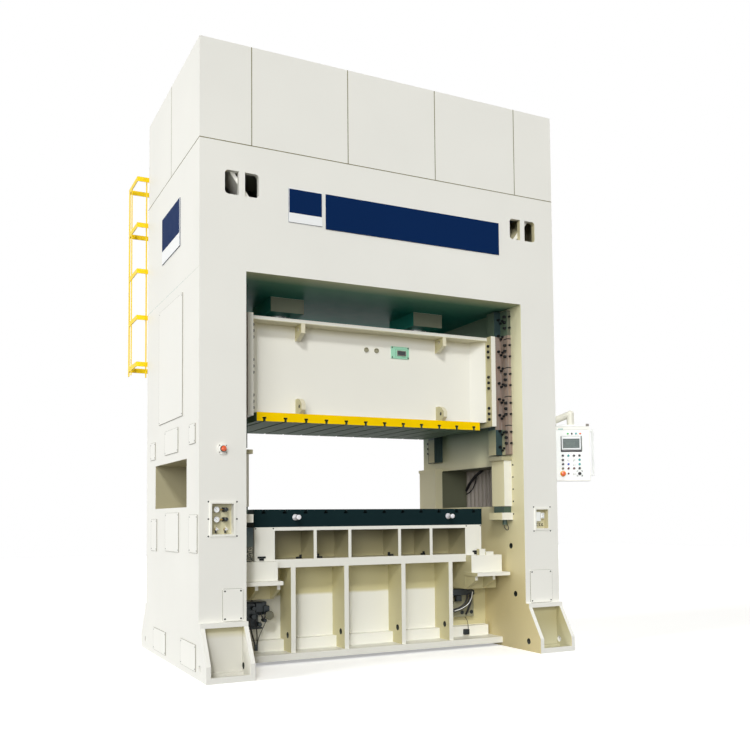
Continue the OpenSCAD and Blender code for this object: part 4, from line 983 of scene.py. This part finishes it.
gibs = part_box("gib_blocks")
gib_low, gib_top = gibs[0].z, gibs[1].z
block_x, block_y = inner - 0.05, gibs[1].y
BLOCKS, BAR_SCREWS = 5, 9
bar_x, bar_y, bar_pitch = 1.668, 0.84, 0.2
pitch = (gib_top - gib_low) / BLOCKS
side_line, end_line = (pad(w, 0.012, 0.0015, 0.001) for w in (0.08, 0.05))
block_screw, end_screw = cap_screw(0.018, 0.03), cap_screw(0.013, 0.024)
bar_screw, liner_screw = cap_screw(0.016, 0.03), cap_screw(0.014, 0.026)
heads, lines = [], []
for sx, sy in CORNERS:
    for i in range(BLOCKS):
        for k in (-1, 0, 1):
            z = gib_low + pitch * (i + 0.5) + 0.07 * k + 0.03
            heads.append(on_inner(block_screw, sx, sy * (block_y - 0.038), z, block_x))
            if k:
                heads.append(on_end(end_screw, sy, sx * (block_x + 0.027), z, block_y))
    for i in range(BAR_SCREWS):
        z = gib_low + 0.1 + bar_pitch * i
        heads.append(on_end(bar_screw, sy, sx * bar_x, z, bar_y))
        for k in SIDES:
            heads.append(on_inner(liner_screw, sx, sy * (0.88 + 0.018 * k),
                                  z + 0.012 * k - 0.03, inner - 0.04))
    for i in range(1, BLOCKS):
        z = gib_low + pitch * i
        lines.append(on_inner(side_line, sx, sy * (block_y - 0.04), z, block_x))
        lines.append(on_end(end_line, sy, sx * (block_x + 0.025), z, block_y))
gib_heads = piece("gib_cap_screws", heads, blackened, smooth=True)
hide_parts("gib_bolts")
piece("gib_block_joints", lines, blackened)

# %% Lifting pegs of the bolster
peg = turned([(0.035, 0), (0.035, 0.01), (0.0325, 0.014), (0.027, 0.03), (0.0215, 0.038),
              (0.0195, 0.052), (0.0195, 0.078), (0.0215, 0.09), (0.0265, 0.098), (0.028, 0.106),
              (0.0265, 0.114), (0.02, 0.119), (0.009, 0.1196)])
peg_x, peg_z, peg_y = 1, BOLSTER[0].z + 0.1089, BOLSTER[1].y
pegs = piece("bolster_peg_bodies", [on_end(peg, sy, sx * peg_x, peg_z, peg_y)
                                    for sx, sy in CORNERS],
             enamel("galvanised_steel", "#f0eef4", 0.05, 0.3), smooth=True)
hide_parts("bolster_pegs")

# %% Screws, plugs, lugs and counter of the slide
wing = SLIDE[1].y
rail = SLIDE[1].x - 0.064
skin = 0.58
lug_x, lug_y = 0.93, 0.7
slide_heads = piece("slide_cap_screws", [
    on_inner(cap_screw(0.018, 0.022), sx, sy * (wing - 0.05), PLATE[0].z + z + 0.07 * k, rail)
    for sx, sy in CORNERS for z in (0.2, 0.59, 0.98) for k in (-1, 0, 1)],
    blackened, "slide_body", True)
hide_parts("slide_bolts")
plug = turned([(0.03, 0), (0.03, 0.01), (0.028, 0.0135), (0.0215, 0.0135), (0.0205, 0.004)])
piece("slide_plugs", [front(plug, x, PLATE[1].z + 0.823, skin) for x in (-0.046, 0.089)],
      enamel("plug_enamel", "#96927a", 0.05), "slide_body", True)
# Dark discs in the lugs' bores: painted shade.
low_bore_shade = turned([(0.021, 0), (0.021, 0.0012), (0.018, 0.0016)], 24)
top_bore_shade = turned([(0.0215, 0), (0.0215, 0.004)], 24)
holes = []
for sx, sy in CORNERS:
    for axes, side in ((LEFTWARD, -1), (RIGHTWARD, 1)):
        holes.append(put(low_bore_shade, axes, side * sy * lug_y, PLATE[1].z + 0.085,
                         0.025 + side * sx * lug_x))
    holes.append(put(top_bore_shade, RIGHTWARD, sy * 0.68, SLIDE[1].z - 0.093, sx * lug_x))
piece("lug_bore_shades", holes, blackened, "slide_body", True)
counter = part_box("stroke_counter")
cx, cz = (counter[0].x + counter[1].x) / 2, (counter[0].z + counter[1].z) / 2
cw, ch = counter[1].x - counter[0].x, counter[1].z - counter[0].z
counter_front = skin + 0.012


def on_counter(shape, dx=0.018, dz=-0.006):
    """A shape on the counter's plate, about the middle of its window."""
    return front(shape, cx + dx, cz + dz, counter_front)


plate = piece("counter_plate", [front(pad(cw, ch, 0.012, 0.004), cx, cz, skin)],
              enamel("mint_enamel", "#9ed8ba", 0.02, 0.4), "slide_body")
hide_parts("stroke_counter")
piece("counter_line", [on_counter(rim(cw * 0.68, ch * 0.66, 0.0014, 0.003, 0.004))],
      enamel("mint_line", "#5c8c74", 0.02), "slide_body")
piece("counter_bezel", [on_counter(rim(cw * 0.5, ch * 0.44, 0.0075, 0.009, 0.004))],
      stone_grey, "slide_body")
piece("counter_display", [on_counter(pad(cw * 0.45, ch * 0.34, 0.003, 0.002))],
      lamp_lens("counter_glass", "#162228"), "slide_body")
piece("counter_screws", [on_counter(screw_head(), a * (cw / 2 - 0.014), b * (ch / 2 - 0.014))
                         for a, b in CORNERS], steel_dark, "slide_body", True)

# %% [markdown]
# ## Air and cable fittings in the uprights
# Each pocket in the front face holds real parts: gauges with dials and needles, regulators with
# fluted knobs, ball valves, sockets. A knob's flutes are a cosine added to its radius, which
# keeps it a single grid.

# %% Gauges, regulators and valves
def spin(shape, turn):
    """A local shape turned about the out axis: (a, u) -> (a cos t - u sin t, a sin t + u cos t)."""
    points, faces = shape
    c, k = math.cos(turn), math.sin(turn)
    return points @ np.array([[c, k, 0], [-k, c, 0], [0, 0, 1]]), faces


def fluted(r, t, flutes=12, n=96):
    """A knob whose radius runs r (0.95 + 0.05 cos(flutes a)), with a bevelled, smooth cap."""
    ring = circle(n)
    a = np.linspace(0, 2 * np.pi, n, endpoint=False)
    wave = ring * (r * (0.95 + 0.05 * np.cos(flutes * a)))[:, None]
    return stack([wave, wave, 0.9 * wave, ring * 0.6 * r, ring * 0.55 * r],
                 [0, 0.84 * t, 0.93 * t, t, 0.97 * t])


pocket = -face - 0.078
pipe_y = -pocket - 0.016
gauge_x, knob_x, valve_z = -2.062, -1.962, 1.502
gauge_out, dial_out = -face - 0.038, -face - 0.0182
case = turned([(0.0315, 0), (0.0315, 0.021), (0.0295, 0.026), (0.0268, 0.026), (0.0262, 0.02)], 40)
shank = turned([(0.012, -0.04), (0.012, 0.001)], 20)
dial = turned([(0.0262, 0), (0.0262, 0.001)], 40)
mark = moved(pad(0.0018, 0.005, 0.0004, 0.0003), 0, 0.0215, 0)
hand = moved(pad(0.0024, 0.022, 0.0006, 0.0008), 0, 0.007, 0)
body = turned([(0.02, 0), (0.02, 0.03), (0.017, 0.034), (0.017, 0.0435)], 28)
nut = turned([(0.013, 0), (0.013, 0.022)], 6)
stem = turned([(0.009, 0.02), (0.009, 0.034), (0.0125, 0.036), (0.0125, 0.05), (0.01, 0.053)], 20)
spout = turned([(0.01, 0), (0.01, 0.034), (0.008, 0.036)], 16)
metal, dials, needles, bodies, pipes = [], [], [], [], []
for z in (1.604, 1.705):
    metal += fronts((case, gauge_x, z, gauge_out), (shank, gauge_x, z, gauge_out))
    dials.append(front(dial, gauge_x, z, dial_out))
    needles += [front(spin(mark, a), gauge_x, z, dial_out + 0.001)
                for a in np.linspace(-2.35, 2.35, 9)]
    needles.append(front(spin(hand, 0.9), gauge_x, z, dial_out + 0.0012))
    bodies += fronts((body, knob_x, z, pocket), (pad(0.05, 0.044, 0.024, 0.004), knob_x, z, pocket))
    pipes.append(pipe([(x, pipe_y, z) for x in (gauge_x, gauge_x + 0.05, knob_x - 0.02)], 0.008))
for x in (-2.06, -1.96):
    pipes.append(front(nut, x, valve_z, pocket))
    metal += fronts((stem, x, valve_z, pocket), (spin(pad(0.01, 0.044, 0.005, 0.003), 0.7),
                                                 x + 0.008, valve_z + 0.01, pocket + 0.053))
    bodies.append(put(spout, UPWARD, x, -pocket - 0.024, valve_z - 0.038))
gauges = piece("gauge_cases", metal, chrome, smooth=True)
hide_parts("air_gauges")
piece("gauge_dials", dials, dial_white)
piece("gauge_marks", needles, black)
piece("regulator_bodies", bodies, black, smooth=True)
piece("air_pipes", pipes, brass, smooth=True)
for name, z in (("upper", 1.705), ("lower", 1.604)):
    knob = piece(name + "_knob_cap", [
        front(shape, knob_x, z, -face - 0.0337)
        for shape in (fluted(0.022, 0.0375), turned([(0.0069, -0.025), (0.0069, 0.002)], 16))],
        moulded(name + "_knob_plastic", "#1a2224", 0.3), name + "_knob", True)
    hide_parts("regulator_knob_" + name)

# %% Sockets of the junction pocket
junction = pocket - 0.012
piece("junction_box", fronts((pad(0.078, 0.114, 0.006, 0.004), 1.978, 1.606, junction + 0.053),
    (pad(0.052, 0.072, 0.005, 0.003), 2.0605, 1.616, pocket + 0.026)), panel_white)
socket = turned([(0.015, 0), (0.015, 0.02), (0.012, 0.024), (0.009, 0.024), (0.008, 0.01)], 24)
piece("sockets", [front(socket, x, 1.506, junction) for x in (1.9525, 1.9925, 2.0325, 2.0725)],
      steel_dark, smooth=True)
piece("socket_caps", [front(socket, 2.062, z, pocket + 0.022) for z in (1.632, 1.598)],
      dial_white, smooth=True)
round_pockets = [(-2.002 + a * 0.15, 1.6085 + b * 0.176) for a in SIDES for b in (-1, 0, 1)]
round_pockets += [(2.012 + a * 0.124, 1.576 + b * 0.146) for a, b in CORNERS]
piece("pocket_screws", [front(screw_head(0.0085), x, z, -face) for x, z in round_pockets],
      blackened, smooth=True)

# %% [markdown]
# ## Fittings round the bed
# The corner bays hold a valve block and a lubrication unit with their hoses. Hoses follow smooth
# curves through a few points; the rest are bevelled plates and turned bodies that stand where
# the frame's plain solids stood.

# %% Valve block in the left bay
wall = -BED[0].y - 0.344
blocks = [front(pad(w, h, t, 0.006), x, z, wall + o) for x, z, o, w, h, t in (
    (-1.398, 0.6, 0, 0.28, 0.15, 0.06), (-1.47, 0.575, 0.05, 0.12, 0.17, 0.06),
    (-1.35, 0.615, 0.055, 0.11, 0.1, 0.07), (-1.285, 0.598, 0.04, 0.07, 0.07, 0.1),
    (-1.44, 0.455, 0, 0.19, 0.17, 0.02), (-1.385, 0.38, 0, 0.17, 0.022, 0.05),
    (-1.4, 0.172, 0.1, 0.036, 0.07, 0.024))]
for x, z, o, r, t in ((-1.35, 0.425, 0.02, 0.024, 0.09), (-1.3, 0.47, 0.06, 0.022, 0.08),
                      (-1.44, 0.52, 0.08, 0.03, 0.08), (-1.44, 0.61, 0.1, 0.026, 0.075)):
    plug = turned([(r, 0), (r, t - 0.004), (0.85 * r, t), (0.4 * r, t)], 24)
    blocks.append(front(plug, x, z, wall + o))
valve = piece("valve_block", blocks, moulded("valve_black", "#16242a", 0.35), smooth=True)
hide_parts("valve_unit")
disc = turned([(0.008, -0.16), (0.008, 0), (0.048, 0.002), (0.05, 0.008), (0.046, 0.012),
               (0.01, 0.014)], 36)
piece("valve_disc", fronts((disc, -1.262, 0.528, wall + 0.17)),
      enamel("disc_enamel", "#686756", 0.06, 0.5), smooth=True)


def bay_hose(radius, *route):
    """A hose in a corner bay: each point is (x, distance in front of the back wall, z)."""
    return pipe([(x, -wall - ahead, z) for x, ahead, z in route], radius)


piece("valve_hoses", [
    bay_hose(0.01, (-1.428, 0.03, 0.88), (-1.428, 0.04, 0.78), (-1.43, 0.06, 0.69)),
    bay_hose(0.009, (-1.47, 0.09, 0.52), (-1.462, 0.11, 0.4), (-1.44, 0.115, 0.3),
             (-1.412, 0.115, 0.205)),
    bay_hose(0.006, (-1.4, 0.06, 0.54), (-1.392, 0.09, 0.42), (-1.388, 0.112, 0.3),
             (-1.39, 0.113, 0.206)),
    bay_hose(0.0035, (-1.27, 0.1, 0.47), (-1.318, 0.105, 0.38), (-1.368, 0.112, 0.28),
             (-1.384, 0.113, 0.206)),
    bay_hose(0.009, (-1.35, 0.11, 0.57), (-1.34, 0.14, 0.52), (-1.31, 0.135, 0.48),
             (-1.29, 0.12, 0.47)),
    bay_hose(0.008, (-1.3, 0.11, 0.58), (-1.305, 0.145, 0.53), (-1.308, 0.14, 0.48)),
], rubber, smooth=True)

# %% Lubrication unit in the right bay
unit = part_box("lube_unit")
left, low, plate_front = unit[0].x, 0.35, 0.029
outline = np.array([[0, 0], [0.32, 0], [0.32, 0.34], [0.18, 0.34], [0, 0.14]])
unit_plate = stack([outline, outline, outline * 0.985 + np.array([0.0025, 0.0025])],
                   [0, 0.027, plate_front])
lube = piece("lube_plate", [front(unit_plate, left, low, wall)], plate_brown)
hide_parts("lube_unit")
ring = turned([(0.026, 0), (0.026, 0.001), (0.023, 0.0014)], 28)
piece("lube_holes", fronts(
    *[(ring, left + a, low + 0.055, wall + plate_front) for a in (0.146, 0.285)],
    (pad(0.34, 0.075, 0.075, 0.008), 1.235, 0.665, wall + 0.02),
    (pad(0.12, 0.06, 0.08, 0.008), 1.44, 0.655, wall + 0.02),
    (pad(0.08, 0.07, 0.05, 0.006), 1.285, 0.585, wall + plate_front),
    (pad(0.075, 0.067, 0.028, 0.004), 1.3555, 0.1715, wall + 0.112)),
    moulded("lube_black", "#162026", 0.4), smooth=True)
piece("lube_hoses", [
    bay_hose(0.011, (1.4, 0.08, 0.66), (1.382, 0.11, 0.59), (1.34, 0.115, 0.52),
             (1.27, 0.1, 0.47), (1.18, 0.08, 0.45), (1.11, 0.06, 0.447)),
    bay_hose(0.011, (1.43, 0.085, 0.66), (1.412, 0.12, 0.58), (1.365, 0.125, 0.505),
             (1.29, 0.11, 0.455), (1.2, 0.09, 0.43), (1.115, 0.07, 0.428)),
    bay_hose(0.012, (1.46, 0.06, 0.65), (1.455, 0.09, 0.56), (1.42, 0.09, 0.47),
             (1.4, 0.05, 0.38)),
    bay_hose(0.0035, (1.392, 0.04, 0.345), (1.388, 0.1, 0.3), (1.386, 0.126, 0.205)),
], rubber, smooth=True)
piece("lube_cable", [
    bay_hose(0.0055, (1.47, 0.1, 0.665), (1.43, 0.135, 0.59), (1.38, 0.14, 0.52),
             (1.3, 0.125, 0.468), (1.2, 0.105, 0.436))], dial_white, smooth=True)

# %% Window hoses, guard screws, riser handles
riser_front = -RISER[0].y
piece("window_hose", [
    pipe([(2.125, 0.24, 2.249), (2.112, 0.3, 2.22), (2.1, 0.41, 2.16),
          (2.1, 0.55, 2.063), (2.11, 0.64, 1.98)], 0.019),
    pipe([(2.12, 0.395, 2.165), (2.122, 0.418, 2.099), (2.122, 0.484, 2.013),
          (2.12, 0.563, 1.96), (2.115, 0.64, 1.93)], 0.008)], rubber, smooth=True)
piece("guard_screws", [on_inner(screw_head(0.011, 0.005), sx, -1, z, inner)
                       for sx in SIDES for z in (2.245, 2.095, 1.945, 1.795, 1.64)],
      blackened, smooth=True)
loop = [(1.69, -0.895, 1.52), (1.672, -0.915, 1.478), (1.694, -0.93, 1.442),
        (1.724, -0.925, 1.462), (1.72, -0.905, 1.512)]
piece("guard_cables", [pipe([(sx * x, y, z) for x, y, z in loop], 0.0045) for sx in SIDES],
      rubber, smooth=True)
grip, foot = pad(0.092, 0.02, 0.016, 0.005), pad(0.052, 0.022, 0.012, 0.004)
piece("riser_handles", fronts(*[(shape, x, z, riser_front) for x in (-1.401, 1.396)
                                for shape, z in ((grip, 1.182), (foot, 1.158))]), blackened)
piece("riser_screws", [front(screw_head(0.008), x, z, riser_front)
                       for x in (-1.468, -1.262, 1.262, 1.468) for z in (1.13, 1.498)],
      blackened, smooth=True)
clamps = [front(pad(w, h, 0.03, 0.004), x, RISER[0].z + 0.038 + h / 2, riser_front - 0.1)
          for x, w, h in [(-0.93, 0.06, 0.022), (-0.905, 0.022, 0.045), (-0.69, 0.018, 0.05),
                          (-0.665, 0.05, 0.02), (0.25, 0.06, 0.022), (0.225, 0.022, 0.045),
                          (0.69, 0.05, 0.022), (0.7, 0.018, 0.045)]]
piece("riser_clamps", clamps, blackened)
carrier = Finish("cable_carrier", 0.6)
weave, z = carrier.noise(60, 4, (1, 1, 1.6)), carrier.at[2]
carrier.bump(weave, 0.3, 0.002)
speckle = carrier.ramp(weave, [(0.44, "#141e22"), (0.5, "#606862"), (0.58, "#cec8b4")])
sheet = carrier.ramp((z - 1.28) * 4.4, [(0, "#707c7a"), (1, "#2c424a")])
piece("cable_carrier", [front(pad(0.15, 0.38, 0.03, 0.004), -1.565, 1.322, riser_front - 0.04)],
      carrier.painted(carrier.mix(z < 1.3, sheet, speckle)))
